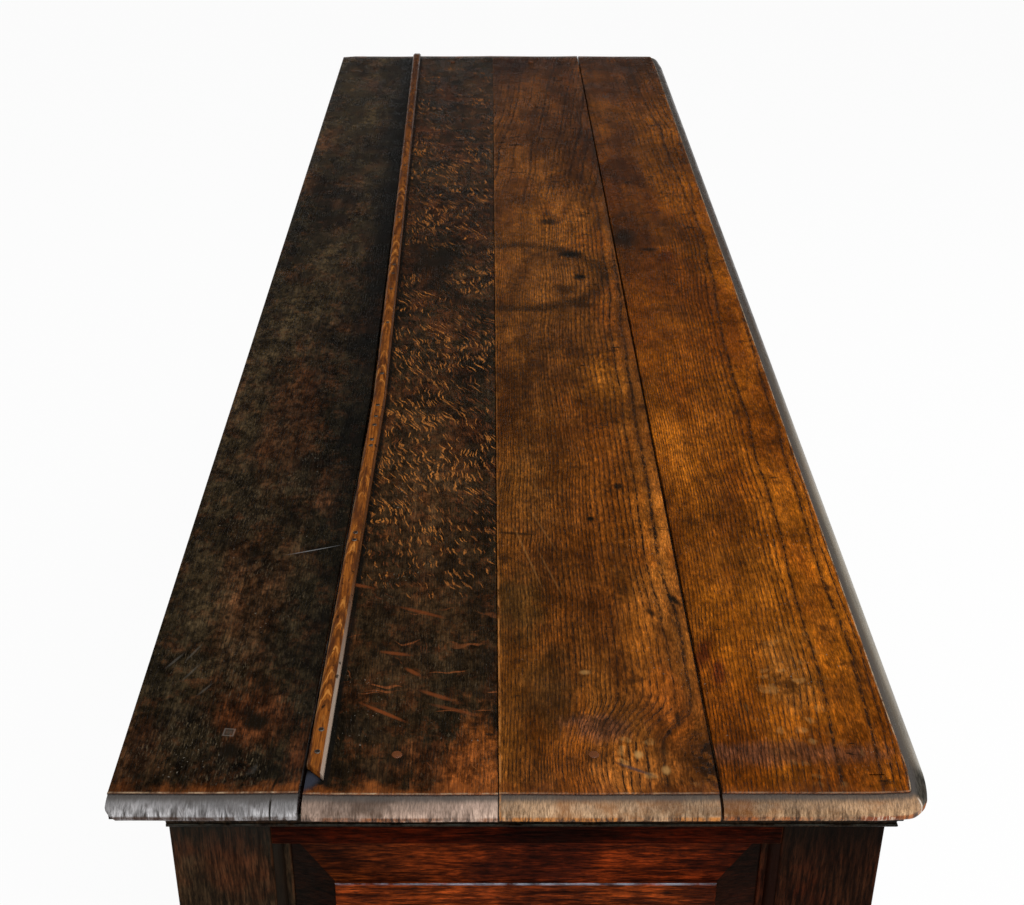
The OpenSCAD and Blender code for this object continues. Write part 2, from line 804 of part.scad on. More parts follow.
// A stop behind the top of each door
module door_stops() {
    stop_l = 60;
    below = 9;
    x = bay_x(0) + bay_w / 2;
    color("tan") both_sides()
        block([x - stop_l / 2, y_face + frame_thick, z_drawer_rail - below], [x + stop_l / 2, y_face + frame_thick + 12, z_drawer_rail + 4]);
}

// Drawers

front_w = bay_w - 2 * drawer_gap;
front_h = drawer_opening - 2 * drawer_gap;
y_lip_back = y_face - lip_gap;
y_drawer_face = y_lip_back - lip_t;
y_front_inner = y_lip_back + front_body;
y_drawer_end = y_inside_rear - drawer_back_room;
y_back_inner = y_drawer_end - side_t;
z_side = z_drawers + run_gap;
side_h = drawer_opening - run_gap - side_room;
z_bottom = z_side + bottom_lift;

// Section of a drawer front across its width or height, with thumb-moulded lips; y is the depth
module lip_section(w) {
    half = w / 2 + drawer_gap + lip_cover;
    steps = 6;
    curve = [for (i = [0:steps]) let (a = 90 * i / steps)
        [half - 5 * (1 - sin(a)), y_drawer_face + 1 + (lip_t - 3) * (1 - cos(a))]];
    mirrored = [for (i = [0:steps]) [-curve[i].x, curve[i].y]];
    polygon(concat(
        [[-half + 5, y_drawer_face], [half - 5, y_drawer_face]], curve, [[half, y_lip_back]],
        [[w / 2, y_lip_back], [w / 2, y_front_inner], [-w / 2, y_front_inner], [-w / 2, y_lip_back], [-half, y_lip_back]],
        [for (i = [0:steps]) mirrored[steps - i]]
    ));
}

// Tails at one end of a side: they widen along +Y
module tail_row(long) {
    pitch = side_h / tails;
    root = pitch * 0.3;
    for (i = [0:tails - 1]) translate([0, 0, (i + 0.5) * pitch]) rotate([90, 0, 90]) linear_extrude(side_t)
        polygon([[0, -root], [long, -root - long * tail_slope], [long, root + long * tail_slope], [0, root]]);
}

// The left side of a drawer whose left edge is x = 0, before its groove is cut
module side_blank() {
    translate([0, y_front_inner, z_side]) {
        cube([side_t, y_back_inner - y_front_inner, side_h]);
        mirror([0, 1, 0]) tail_row(lap);
        translate([0, y_back_inner - y_front_inner, 0]) tail_row(side_t);
    }
}

// Both sides of a drawer, for a drawer centred on x = 0
module drawer_sides_solid() {
    difference() {
        both_sides() translate([-front_w / 2, 0, 0]) side_blank();
        drawer_bottom_solid();
    }
}

// Three boards from front to back, held in the grooves of the sides and the front
module drawer_bottom_solid() {
    reach = front_w / 2 - side_t + bottom_in;
    boards = 3;
    pitch = 2 * reach / boards;
    for (i = [0:boards - 1]) translate([-reach + i * pitch, y_front_inner - bottom_in, z_bottom])
        cube([pitch - (i < boards - 1 ? 0.5 : 0), y_drawer_end - y_front_inner + bottom_in, bottom_t]);
}

// The back stands on the bottom boards, between through dovetails
module drawer_back_solid() {
    difference() {
        block([-front_w / 2, y_back_inner, z_bottom + bottom_t], [front_w / 2, y_drawer_end, z_side + side_h - 4]);
        drawer_sides_solid();
    }
}

module drawer_front_solid() {
    z_mid = z_drawers + drawer_opening / 2;
    reach = bay_w;
    difference() {
        intersection() {
            translate([0, 0, z_mid - reach]) linear_extrude(2 * reach) lip_section(front_w);
            translate([-reach, 0, z_mid]) rotate([90, 0, 90]) linear_extrude(2 * reach)
                mirror([1, -1, 0]) lip_section(front_h);
        }
        drawer_sides_solid();
        drawer_bottom_solid();
        handle_places() shank_hole();
    }
}

// Handles: two to a drawer; children have their origin on the drawer's face, between the pommels
module handle_places() {
    for (side = [-1, 1]) translate([side * handle_from_centre, y_drawer_face, z_drawers + drawer_opening / 2 + 6]) children();
}

module shank_hole() {
    both_sides() translate([pommel_x, -over, 0]) rotate([-90, 0, 0]) cylinder(r = shank_r + peg_room, h = 60);
}

// Shaped back plate, drawn from circles and a bar
module plate_outline() {
    difference() {
        union() {
            square([2 * pommel_x, plate_h * 0.45], center = true);
            for (x = [-pommel_x, pommel_x]) translate([x, 0]) circle(r = plate_h * 0.25);
            for (x = [-pommel_x / 2, pommel_x / 2]) translate([x, -plate_h * 0.18]) circle(r = plate_h * 0.2);
            translate([0, -plate_h * 0.3]) circle(r = plate_h * 0.2);
            translate([0, plate_h * 0.22]) circle(r = plate_h * 0.28);
        }
        for (x = [-pommel_x, pommel_x]) translate([x, 0]) circle(r = shank_r + peg_room);
        for (x = [-pommel_x * 0.62, pommel_x * 0.62]) translate([x, plate_h * 0.34]) circle(r = plate_h * 0.14);
    }
}

// Turned pommel with its shank, and a cross bore for the bail
module pommel() {
    difference() {
        rotate([90, 0, 0]) rotate_extrude() difference() {
            union() {
                square([bulb_r, 2.5]);
                square([bulb_r * 0.55, pommel_out]);
                translate([0, pommel_out]) circle(r = bulb_r);
                translate([0, -front_inside]) square([shank_r, front_inside + 1]);
            }
            translate([-far, -far]) square([far, 2 * far]);
        }
        translate([0, -pommel_out, 0]) rotate([0, 90, 0]) cylinder(r = wire_r + bail_play, h = 4 * bulb_r, center = true);
    }
}

// From the face of the plate to the end of a shank behind the drawer front
nut_t = 4;
front_inside = plate_t + lip_t + front_body + nut_t + 1;

module nut() {
    rotate([-90, 0, 0]) difference() {
        cylinder(r = 2.6 * shank_r, h = nut_t, $fn = 8);
        translate([0, 0, -over]) cylinder(r = shank_r + peg_room, h = nut_t + 2 * over);
    }
}

module handle_plates_solid() {
    color("darkgoldenrod") handle_places() {
        rotate([90, 0, 0]) linear_extrude(plate_t) plate_outline();
        both_sides() {
            translate([pommel_x, -plate_t, 0]) pommel();
            translate([pommel_x, y_front_inner - y_drawer_face, 0]) nut();
        }
    }
}

// One wire bail, bent to a flat-bottomed loop with out-turned pivots; its pivot line is y = z = 0
module bail() {
    neck_x = pommel_x - bulb_r - 0.5;
    arm_x = neck_x - neck_r;
    color("darkgoldenrod") both_sides() {
        translate([neck_x, 0, 0]) rotate([0, 90, 0]) cylinder(r = wire_r, h = pommel_x - neck_x + bulb_r / 2);
        translate([neck_x, 0, -neck_r]) rotate([90, 0, 0]) rotate([0, 0, 90]) rotate_extrude(angle = 90)
            translate([neck_r, 0]) circle(r = wire_r);
        translate([arm_x, 0, -bail_drop + bend_r]) cylinder(r = wire_r, h = bail_drop - bend_r - neck_r);
        translate([arm_x - bend_r, 0, -bail_drop + bend_r]) rotate([90, 0, 0]) rotate([0, 0, -90])
            rotate_extrude(angle = 90) translate([bend_r, 0]) circle(r = wire_r);
        translate([0, 0, -bail_drop]) rotate([0, 90, 0]) cylinder(r = wire_r, h = arm_x - bend_r);
    }
}

module drawer_front(i) color("saddlebrown") translate([drawer_x(i), 0, 0]) drawer_front_solid();
module drawer_sides(i) color("tan") translate([drawer_x(i), 0, 0]) drawer_sides_solid();
module drawer_back(i) color("tan") translate([drawer_x(i), 0, 0]) drawer_back_solid();
module drawer_bottom(i) color("tan") translate([drawer_x(i), 0, 0]) drawer_bottom_solid();
module drawer_handle_plates(i) translate([drawer_x(i), 0, 0]) handle_plates_solid();
module drawer_bail(i, side) translate([drawer_x(i) + side * handle_from_centre,
    y_drawer_face - plate_t - pommel_out, z_drawers + drawer_opening / 2 + 6]) bail();
function drawer_x(i) = bay_x(i) + bay_w / 2;

// Doors

door_w = bay_w - 2 * door_gap;
door_h = z_drawer_rail - z_floor_rail - 2 * door_gap;
z_door = z_floor_rail + door_gap;
door_x = bay_x(0) + door_gap;
stile_w = door_stile + stuck_w;
door_panel_w = door_w - 2 * stile_w;
door_panel_h = door_h - 2 * door_rail;
door_rails = [[z_door, door_rail], [z_door + door_h - door_rail, door_rail]];
door_thick = frame_thick - 0.3;

// The left door's stiles; the hinges are at the left
module door_stiles_solid() {
    color("saddlebrown") difference() {
        for (flip = [0, 1]) translate([door_x + flip * door_w, y_face, z_door]) mirror([flip, 0, 0]) {
            cube([door_stile, door_thick, door_h]);
            translate([0, 0, door_rail]) linear_extrude(door_panel_h) mirror([1, -1, 0]) stile_section(door_stile, door_thick);
        }
        for (rail = door_rails)
            block([door_x + door_stile - door_tenon - tenon_room, y_face + tenon_set, tenon_low(rail, groove_d + over)],
                [door_x + door_w - door_stile + door_tenon + tenon_room, y_face + tenon_set + tenon_t, tenon_high(rail, groove_d + over)]);
        translate([knob_x, y_face - over, z_knob]) rotate([-90, 0, 0])
            cylinder(r = spindle_r + spindle_play, h = door_thick + 2 * over);
    }
}

module door_rails_solid() {
    color("saddlebrown") difference() {
        for (rail = door_rails) {
            block([door_x + door_stile, y_face, rail[0]], [door_x + door_w - door_stile, y_face + door_thick, rail[0] + rail[1]]);
            block([door_x + door_stile - door_tenon, y_face + tenon_set, tenon_low(rail, groove_d + over)],
                [door_x + door_w - door_stile + door_tenon, y_face + tenon_set + tenon_t, tenon_high(rail, groove_d + over)]);
        }
        block([door_x + stile_w - groove_d, y_face + tenon_set, z_door + door_rail - groove_d],
            [door_x + door_w - stile_w + groove_d, y_face + tenon_set + groove_w, z_door + door_h - door_rail + groove_d]);
    }
}

module door_panel_solid() {
    color("saddlebrown") translate([door_x + door_w / 2, y_face, z_door + door_h / 2])
        fielded_panel(door_panel_w, door_panel_h);
}

// Hinges: the barrel's axis stands in front of the gap beside the post
hinge_x = bay_x(0) + door_gap / 2;
hinge_y = y_face - barrel_r - 0.3;
hinge_heights = [z_door + hinge_set, z_door + door_h - hinge_set];
knuckle = leaf_h / 3;
knuckle_gap = 0.3;

// Flat leaf with rounded ends, running from the barrel along +X
module leaf(notched_middle) {
    difference() {
        union() {
            block([0, -leaf_t, -leaf_h / 2 + leaf_w / 4], [leaf_w, 0, leaf_h / 2 - leaf_w / 4]);
            for (s = [-1, 1]) translate([leaf_w / 2, 0, s * (leaf_h / 2 - leaf_w / 4)]) rotate([90, 0, 0])
                cylinder(r = leaf_w / 2, h = leaf_t);
        }
        for (k = notched_middle ? [0] : [-1, 1])
            block([-over, -2 * leaf_t, (k - 0.5) * knuckle - (k == -1 ? knuckle : knuckle_gap)],
                [barrel_r + 0.6, over, (k + 0.5) * knuckle + (k == 1 ? knuckle : knuckle_gap)]);
    }
}

// The leaves, outer knuckles and pins that stay on the left post
module hinge_plates_solid() {
    for (z = hinge_heights) translate([hinge_x, 0, z]) {
        translate([0, y_face, 0]) mirror([1, 0, 0]) leaf(true);
        translate([0, hinge_y, 0]) {
            for (k = [-1, 1]) translate([0, 0, k * knuckle]) cylinder(r = barrel_r, h = knuckle, center = true);
            cylinder(r = pin_r, h = leaf_h + 6, center = true);
            for (k = [-1, 1]) translate([0, 0, k * (leaf_h / 2 + 2)]) cylinder(r = barrel_r * 0.75, h = 4, center = true);
            for (k = [-1, 1]) block([-barrel_r * 0.7, 0, (k - 0.5) * knuckle], [0, -hinge_y + y_face, (k + 0.5) * knuckle]);
        }
    }
}

// The leaves and middle knuckles that turn with the left door
module hinge_leaves_solid() {
    for (z = hinge_heights) translate([hinge_x, 0, z]) difference() {
        union() {
            translate([0, y_face, 0]) leaf(false);
            translate([0, hinge_y, 0]) cylinder(r = barrel_r, h = knuckle - 2 * knuckle_gap, center = true);
            block([0, hinge_y, -knuckle / 2 + knuckle_gap], [barrel_r * 0.7, y_face, knuckle / 2 - knuckle_gap]);
        }
        translate([0, hinge_y, 0]) cylinder(r = pin_r + pin_play, h = leaf_h, center = true);
    }
}

// Knob, spindle and catch of the left door, turning together; the catch hangs down when it is off
knob_x = door_x + door_w - knob_set;
z_knob = z_door + door_h / 2;
spindle_r = 4;
spindle_play = 0.08;
module door_catch_solid() {
    behind = frame_thick + 0.4;
    translate([knob_x, y_face, z_knob]) {
        rotate([90, 0, 0]) rotate_extrude() difference() {
            union() {
                translate([0, 0.4]) square([knob_r * 0.8, 1.6]);
                square([knob_r * 0.4, 12]);
                translate([0, 18]) circle(r = knob_r * 0.9);
                translate([0, -behind - catch_t - 3]) square([spindle_r, behind + catch_t + 4]);
            }
            translate([-far, -far]) square([far, 2 * far]);
            translate([0, 18 + knob_r * 0.5]) square([far, far]);
        }
        block([-7, behind, -catch_l], [7, behind + catch_t, 7]);
    }
}

module door_hinge_plates() color("darkgoldenrod") both_sides() hinge_plates_solid();
module left_door_hinge_leaves() color("darkgoldenrod") hinge_leaves_solid();
module right_door_hinge_leaves() color("darkgoldenrod") mirror([1, 0, 0]) hinge_leaves_solid();
module left_door_catch() color("darkgoldenrod") door_catch_solid();
module right_door_catch() color("darkgoldenrod") mirror([1, 0, 0]) door_catch_solid();

top_board_rear();
top_board_second();
top_board_third();
top_board_front();
plate_strip();
plate_strip_nails();
bed_mouldings();
post_front_left();
post_front_right();
post_rear_left();
post_rear_right();
front_top_rail();
front_drawer_rail();
front_bottom_rail();
drawer_muntins();
door_muntins();
centre_panel();
rear_rails();
back_boards();
left_end_rails();
left_end_panels();
right_end_rails();
right_end_panels();
floor_boards();
floor_cleats();
drawer_runners();
oak_pegs();
door_stops();
door_hinge_plates();
drawer_front(0);  // left_drawer_front
drawer_sides(0);  // left_drawer_sides
drawer_back(0);  // left_drawer_back
drawer_bottom(0);  // left_drawer_bottom
drawer_handle_plates(0);  // left_drawer_handle_plates
drawer_bail(0, -1);  // left_drawer_bail_a
drawer_bail(0, 1);  // left_drawer_bail_b
drawer_front(1);  // middle_drawer_front
drawer_sides(1);  // middle_drawer_sides
drawer_back(1);  // middle_drawer_back
drawer_bottom(1);  // middle_drawer_bottom
drawer_handle_plates(1);  // middle_drawer_handle_plates
drawer_bail(1, -1);  // middle_drawer_bail_a
drawer_bail(1, 1);  // middle_drawer_bail_b
drawer_front(2);  // right_drawer_front
drawer_sides(2);  // right_drawer_sides
drawer_back(2);  // right_drawer_back
drawer_bottom(2);  // right_drawer_bottom
drawer_handle_plates(2);  // right_drawer_handle_plates
drawer_bail(2, -1);  // right_drawer_bail_a
drawer_bail(2, 1);  // right_drawer_bail_b
door_stiles_solid();  // left_door_stiles
door_rails_solid();  // left_door_rails
door_panel_solid();  // left_door_panel
left_door_hinge_leaves();
left_door_catch();
mirror([1, 0, 0]) door_stiles_solid();  // right_door_stiles
mirror([1, 0, 0]) door_rails_solid();  // right_door_rails
mirror([1, 0, 0]) door_panel_solid();  // right_door_panel
right_door_hinge_leaves();
right_door_catch();
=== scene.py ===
import math
from types import SimpleNamespace

import bmesh
import bpy
from mathutils import Matrix, Vector, noise


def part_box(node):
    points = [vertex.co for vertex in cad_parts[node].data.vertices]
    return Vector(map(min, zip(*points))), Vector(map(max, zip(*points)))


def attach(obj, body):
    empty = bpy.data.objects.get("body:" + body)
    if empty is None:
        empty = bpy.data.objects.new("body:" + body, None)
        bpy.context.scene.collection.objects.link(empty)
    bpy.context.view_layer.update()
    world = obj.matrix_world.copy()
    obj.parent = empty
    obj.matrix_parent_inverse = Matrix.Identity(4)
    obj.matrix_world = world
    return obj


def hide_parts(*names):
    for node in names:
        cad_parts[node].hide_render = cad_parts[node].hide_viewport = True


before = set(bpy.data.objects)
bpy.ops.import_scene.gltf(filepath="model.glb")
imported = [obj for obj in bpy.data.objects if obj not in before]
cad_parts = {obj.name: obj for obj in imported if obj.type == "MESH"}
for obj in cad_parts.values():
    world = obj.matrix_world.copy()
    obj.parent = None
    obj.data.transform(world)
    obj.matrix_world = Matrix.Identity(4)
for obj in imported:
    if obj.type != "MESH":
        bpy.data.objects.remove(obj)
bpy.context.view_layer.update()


# Frame of the carcase: four posts that are also its feet, with the rails and muntins tenoned between
# them and pegged, and raised panels in their grooves. All of it is oak stained nearly black.
class Value:
    """What a shader node puts out. Arithmetic on it adds the nodes that work it out."""

    def __init__(self, socket):
        self.socket, self.tree = socket, socket.id_data

    def __add__(self, other):
        return calc("ADD", self, other)

    def __sub__(self, other):
        return calc("SUBTRACT", self, other)

    def __rsub__(self, other):
        return calc("SUBTRACT", other, self)

    def __mul__(self, other):
        return calc("MULTIPLY", self, other)

    def __truediv__(self, other):
        return calc("DIVIDE", self, other)

    def __pow__(self, other):
        return calc("POWER", self, other)

    def __abs__(self):
        return calc("ABSOLUTE", self)


def feed(node, values):
    """Sets a node's sockets, or links to them what other nodes put out."""
    for key, value in values.items():
        if isinstance(value, Value):
            value.tree.links.new(value.socket, node.inputs[key])
        else:
            node.inputs[key].default_value = value


def add(kind, values=None, tree=None, **settings):
    """A shader node with its settings and sockets, in the tree of the values that feed it."""
    values = values or {}
    tree = tree or next(v.tree for v in values.values() if isinstance(v, Value))
    node = tree.nodes.new(kind)
    for name, setting in settings.items():
        setattr(node, name, setting)
    feed(node, values)
    return node


def outputs(node):
    return SimpleNamespace(**{socket.name.replace(" ", ""): Value(socket) for socket in node.outputs})


def calc(operation, *values, clamp=False):
    made = add("ShaderNodeMath", dict(enumerate(values)), operation=operation, use_clamp=clamp)
    return Value(made.outputs[0])


def vector(operation, *values):
    return Value(add("ShaderNodeVectorMath", dict(enumerate(values)), operation=operation).outputs[0])


def xyz(*values):
    return Value(add("ShaderNodeCombineXYZ", dict(enumerate(values))).outputs[0])


def split(value):
    return [Value(socket) for socket in add("ShaderNodeSeparateXYZ", {0: value}).outputs]


def ramp(value, low, high, out_low=0.0, out_high=1.0):
    """A value carried smoothly from one range to another."""
    made = add("ShaderNodeMapRange", {0: value, 1: low, 2: high, 3: out_low, 4: out_high},
               interpolation_type="SMOOTHSTEP")
    return Value(made.outputs[0])


def tint(factor, under, over, blend="MIX"):
    """One colour laid over another."""
    made = add("ShaderNodeMix", {0: factor, 6: under, 7: over}, data_type="RGBA", blend_type=blend)
    return Value(made.outputs[2])


def shade(colour, by):
    """A colour made darker or lighter by another."""
    return tint(1.0, colour, by, "MULTIPLY")


def cloud(where, scale, detail=3.0, rough=0.55, distortion=0.0):
    made = add("ShaderNodeTexNoise", {"Vector": where, "Scale": scale, "Detail": detail,
                                      "Roughness": rough, "Distortion": distortion})
    return Value(made.outputs[0])


def stretched(where, scale, turn=0.0, shift=(0.0, 0.0, 0.0)):
    """Coordinates scaled, turned about the upright and then moved."""
    if any(isinstance(s, Value) for s in shift):
        shift = xyz(*shift)
    made = add("ShaderNodeMapping", {"Vector": where, "Scale": scale, "Rotation": (0.0, 0.0, turn),
                                     "Location": shift})
    return Value(made.outputs[0])


def streaks(where, scale, detail=3.0, rough=0.55, turn=0.0, shift=(0.0, 0.0, 0.0)):
    """A cloud drawn out along the grain."""
    return cloud(stretched(where, scale, turn, shift), 1.0, detail, rough)


def rgb(r, g, b):
    return (r, g, b, 1.0)


white = rgb(1.0, 1.0, 1.0)


def group(name, inputs, ends):
    """An empty node group. None starts a vector, a number a value, and a colour a colour."""
    tree = bpy.data.node_groups.new(name, "ShaderNodeTree")
    kinds = {type(None): "NodeSocketVector", float: "NodeSocketFloat", tuple: "NodeSocketColor"}
    for label, start in inputs.items():
        socket = tree.interface.new_socket(label, in_out="INPUT", socket_type=kinds[type(start)])
        if start is not None:
            socket.default_value = start
    for label in ends:
        kind = "NodeSocketColor" if label == "Colour" else "NodeSocketFloat"
        tree.interface.new_socket(label, in_out="OUTPUT", socket_type=kind)
    entry = tree.nodes.new("NodeGroupInput")
    labelled = SimpleNamespace(**{socket.name: Value(socket) for socket in entry.outputs if socket.name})
    return tree, labelled, tree.nodes.new("NodeGroupOutput")


def use(effect, **values):
    """A node group placed in a material with its own values."""
    return outputs(add("ShaderNodeGroup", values, node_tree=effect))


# Grain runs along the first axis: growth lines that wander, open pores, and cloudy figure
grain, g, ends = group("oak_grain", {"Vector": None, "Spacing": 0.0037, "Wander": 1.0, "Seed": 0.0},
                       ["Lines", "Pores", "Figure", "Fibre"])
seeded = vector("ADD", g.Vector, xyz(g.Seed, g.Seed, g.Seed))
drift = streaks(seeded, (5.0, 22.0, 22.0), 2.0, 0.5) - 0.5
shiver = streaks(seeded, (90.0, 160.0, 160.0), 2.0, 0.6) - 0.5
across = split(seeded)[1] + drift * (g.Wander * 0.06) + shiver * 0.0022
wave = calc("MULTIPLY_ADD", calc("SINE", across * 6.2832 / g.Spacing), 0.5, 0.5)
feed(ends, {
    "Lines": wave ** 2.2 * ramp(streaks(seeded, (30.0, 300.0, 300.0), 3.0, 0.6), 0.35, 0.6),
    "Pores": ramp(streaks(seeded, (110.0, 1500.0, 1500.0), 2.0, 0.5), 0.56, 0.72),
    "Figure": ramp(streaks(seeded, (4.0, 16.0, 16.0), 4.0, 0.6), 0.3, 0.7),
    "Fibre": ramp(streaks(seeded, (26.0, 620.0, 620.0), 4.0, 0.65), 0.3, 0.7)})


def marked_on_mesh(tree, name):
    """What a piece's mesh says of itself at each point, such as how worn it is."""
    return Value(add("ShaderNodeAttribute", tree=tree, attribute_name=name).outputs["Fac"])


# Wear on the arrises, and on the end panels and bed moulding a painted highlight: all of an arris, and the
# parts of it that are rubbed through
wear, w, ends = group("worn_arris", {"Vector": None, "Low": 0.42, "High": 0.62}, ["Arris", "Rubbed"])
arris = marked_on_mesh(wear, "wear")
feed(ends, {"Arris": arris, "Rubbed": arris * ramp(cloud(w.Vector, 38.0, 4.0, 0.65), w.Low, w.High)})

# Stain and wax on planed oak: dark in the lines and pores, redder in patches, in streaks and nicks along
# the grain, and rubbed off the arrises (a painted highlight on the end panels and bed moulding); steep
# moulded faces are painted black as shade
plain = rgb(0.1, 0.05, 0.02)
stained, s, ends = group("stained_oak", {
    "Vector": None, "Along": None, "Seed": 0.0, "Dark": plain, "Light": plain, "Red": plain, "Worn": plain,
    "Low": 0.42, "High": 0.62}, ["Colour", "Streak", "Gloss", "Height"])
g = use(grain, Vector=s.Along, Spacing=0.0032, Wander=0.9, Seed=s.Seed)
patches = ramp(cloud(s.Along, 11.0, 5.0, 0.65), 0.46, 0.68, 0.0, 0.9)
colour = tint(patches, tint(g.Figure, s.Dark, s.Light), s.Red)
streak = streaks(s.Along, (20.0, 290.0, 290.0), 5.0, 0.7, shift=(s.Seed, 0.0, 0.0))
colour = shade(colour, ramp(streak, 0.3, 0.7, 0.32, 1.9))
nicks = streaks(s.Along, (60.0, 420.0, 420.0), 5.0, 0.75, shift=(0.0, s.Seed, 0.0))
colour = shade(colour, ramp(nicks, 0.35, 0.65, 0.40, 1.75))
colour = tint(g.Lines * 0.6, colour, s.Dark)
colour = tint(g.Pores * 0.8, colour, rgb(0.003, 0.002, 0.001))
colour = tint(use(wear, Vector=s.Vector, Low=s.Low, High=s.High).Rubbed, colour, s.Worn)
# Painted shade: steep sloping faces, such as a panel's side bevels, are painted nearly black
shadow = tint(g.Figure, rgb(0.004, 0.0035, 0.0022), rgb(0.018, 0.006, 0.003))
colour = tint(marked_on_mesh(stained, "steep") * 0.9, colour, shadow)
planed = streaks(s.Along, (9.0, 60.0, 60.0), 2.0)
feed(ends, {"Colour": colour, "Streak": streak,
            "Gloss": ramp(cloud(s.Vector, 26.0, 5.0, 0.6), 0.3, 0.7, 0.30, 0.46),
            "Height": calc("MULTIPLY_ADD", g.Fibre, 0.35, planed) - g.Pores})


def new_material(name, metallic=0.0, specular=0.3):
    made = bpy.data.materials.new(name)
    made.use_nodes = True
    shader = made.node_tree.nodes["Principled BSDF"]
    feed(shader, {"Metallic": metallic, "Specular IOR Level": specular})
    return made, shader, Value(add("ShaderNodeTexCoord", tree=made.node_tree).outputs["Object"])


def bump(shader, height, strength, distance):
    made = add("ShaderNodeBump", {"Height": height, "Strength": strength, "Distance": distance})
    feed(shader, {"Normal": Value(made.outputs[0])})


def frame_oak(name, dark, light, red, along="x", seed=0.0, worn=rgb(0.085, 0.022, 0.006), specular=0.015,
              rub=(0.42, 0.62), top_dark=0.0, raised=0.0):
    """Waxed oak for a frame piece whose grain runs along one axis. A post darkens by top_dark towards its
    top, and raised is how far out along X an end panel's field lies: the field is painted lighter, and its
    bevels are painted in shade, darker towards the back and beside the front post."""
    made, shader, where = new_material(name, specular=specular)
    turns = {"x": (0.0, 0.0, 0.0), "y": (0.0, 0.0, -math.pi / 2), "z": (0.0, math.pi / 2, 0.0)}
    laid = Value(add("ShaderNodeVectorRotate", {"Vector": where, "Rotation": turns[along]},
                     rotation_type="EULER_XYZ").outputs[0])
    oak = use(stained, Vector=where, Along=laid, Seed=seed, Dark=dark, Light=light, Red=red, Worn=worn,
              Low=rub[0], High=rub[1])
    colour = oak.Colour
    x, y, z = split(where)
    if top_dark:
        high = ramp(z + oak.Streak * 0.05, 0.790, 0.842, 0.0, top_dark)
        colour = tint(high, colour, rgb(0.0055, 0.0062, 0.0046))
        towards_back = ramp(y, -0.25, 0.25)
        colour = shade(colour, tint(towards_back, rgb(0.62, 0.42, 0.36), rgb(1.30, 1.55, 1.70)))
    if raised:
        # Painted light on an end panel: the raised field lighter and bluer, the bevels in painted shade,
        # darker towards the back and beside the front post
        field = ramp(abs(x), raised - 0.0022, raised - 0.0012)
        towards_back = ramp(y + oak.Streak * 0.12, 0.02, 0.24)
        bevels = tint(towards_back, rgb(1.06, 0.96, 0.92), rgb(0.42, 0.60, 0.74))
        bevels = shade(bevels, ramp(y + oak.Streak * 0.10, -0.16, -0.02, 0.42, 1.0))
        dashes = streaks(laid, (85.0, 1100.0, 1100.0), 4.0, 0.7)
        colour = shade(colour, ramp(dashes, 0.38, 0.60, 0.50, 1.36))
        colour = shade(colour, tint(field, bevels, rgb(1.26, 1.42, 1.55)))
    feed(shader, {"Base Color": colour, "Roughness": oak.Gloss})
    bump(shader, oak.Height, 0.4, 0.0005)
    return made


def finish_piece(name, bm, material, body, nodes, smooth=30):
    """Turns a mesh into a piece that rides on a body and takes the place of CAD nodes."""
    mesh = bpy.data.meshes.new(name)
    bm.normal_update()
    bm.to_mesh(mesh)
    bm.free()
    piece = bpy.data.objects.new(name + "_dressed", mesh)
    bpy.context.scene.collection.objects.link(piece)
    mesh.materials.append(material)
    mesh.shade_smooth()
    mesh.set_sharp_from_angle(angle=math.radians(smooth))
    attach(piece, body)
    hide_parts(*nodes)
    return piece


def soften(name, material, slot_name, body="carcase", width=0.0009, angle=30, shortest=0.004, sides=0.22):
    """A worn copy of a CAD piece: its arrises are rounded over and marked, so that they show wear; on the end
    panels and the bed moulding the mark is a painted highlight.
    """
    bm = bmesh.new()
    bm.from_mesh(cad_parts[name].data)
    bmesh.ops.remove_doubles(bm, verts=bm.verts[:], dist=1e-6)
    bmesh.ops.dissolve_limit(bm, angle_limit=math.radians(0.5), verts=bm.verts[:], edges=bm.edges[:])
    wear = bm.faces.layers.float.new("wear")
    # Steep sloping faces are marked here to be painted in shade
    steep = bm.faces.layers.float.new("steep")
    for f in bm.faces:
        f[steep] = 1.0 if 0.03 < min(abs(f.normal.x), abs(f.normal.y)) and abs(f.normal.z) < 0.02 else 0.0
    sharp = [e for e in bm.edges if e.is_manifold and e.calc_length() > shortest and
             e.calc_face_angle_signed(0.0) > math.radians(angle)]
    rounded = bmesh.ops.bevel(bm, geom=sharp, offset=width, segments=2, profile=0.5, affect="EDGES",
                              material=-1)
    # The mark is stronger where an arris faces upwards; with sides at nought, as on the end panels, only
    # upward arrises take it, as a painted highlight
    for f in rounded["faces"]:
        f[wear] = min(1.0, sides + 1.2 * max(0.0, f.normal.z))
    return finish_piece(name, bm, material, body, [name], smooth=50)


black, brown, blood = rgb(0.0065, 0.0034, 0.0016), rgb(0.025, 0.0118, 0.0050), rgb(0.030, 0.0075, 0.0024)
mahogany = rgb(0.019, 0.0026, 0.0006), rgb(0.064, 0.0090, 0.0014), rgb(0.106, 0.0155, 0.0020)
upright_oak = frame_oak("upright_oak", black, brown, blood, "z", 3.1, top_dark=0.85)
rail_oak = frame_oak("rail_oak", black, rgb(0.020, 0.007, 0.003), blood, "x", 7.7)
end_rail_oak = frame_oak("end_rail_oak", rgb(0.0034, 0.0008, 0.0004), rgb(0.014, 0.0020, 0.0005),
                         rgb(0.030, 0.0030, 0.0004), "y", 5.2, specular=0.004)
panel_oak = frame_oak("panel_oak", *mahogany, "x", 9.4, specular=0.03)
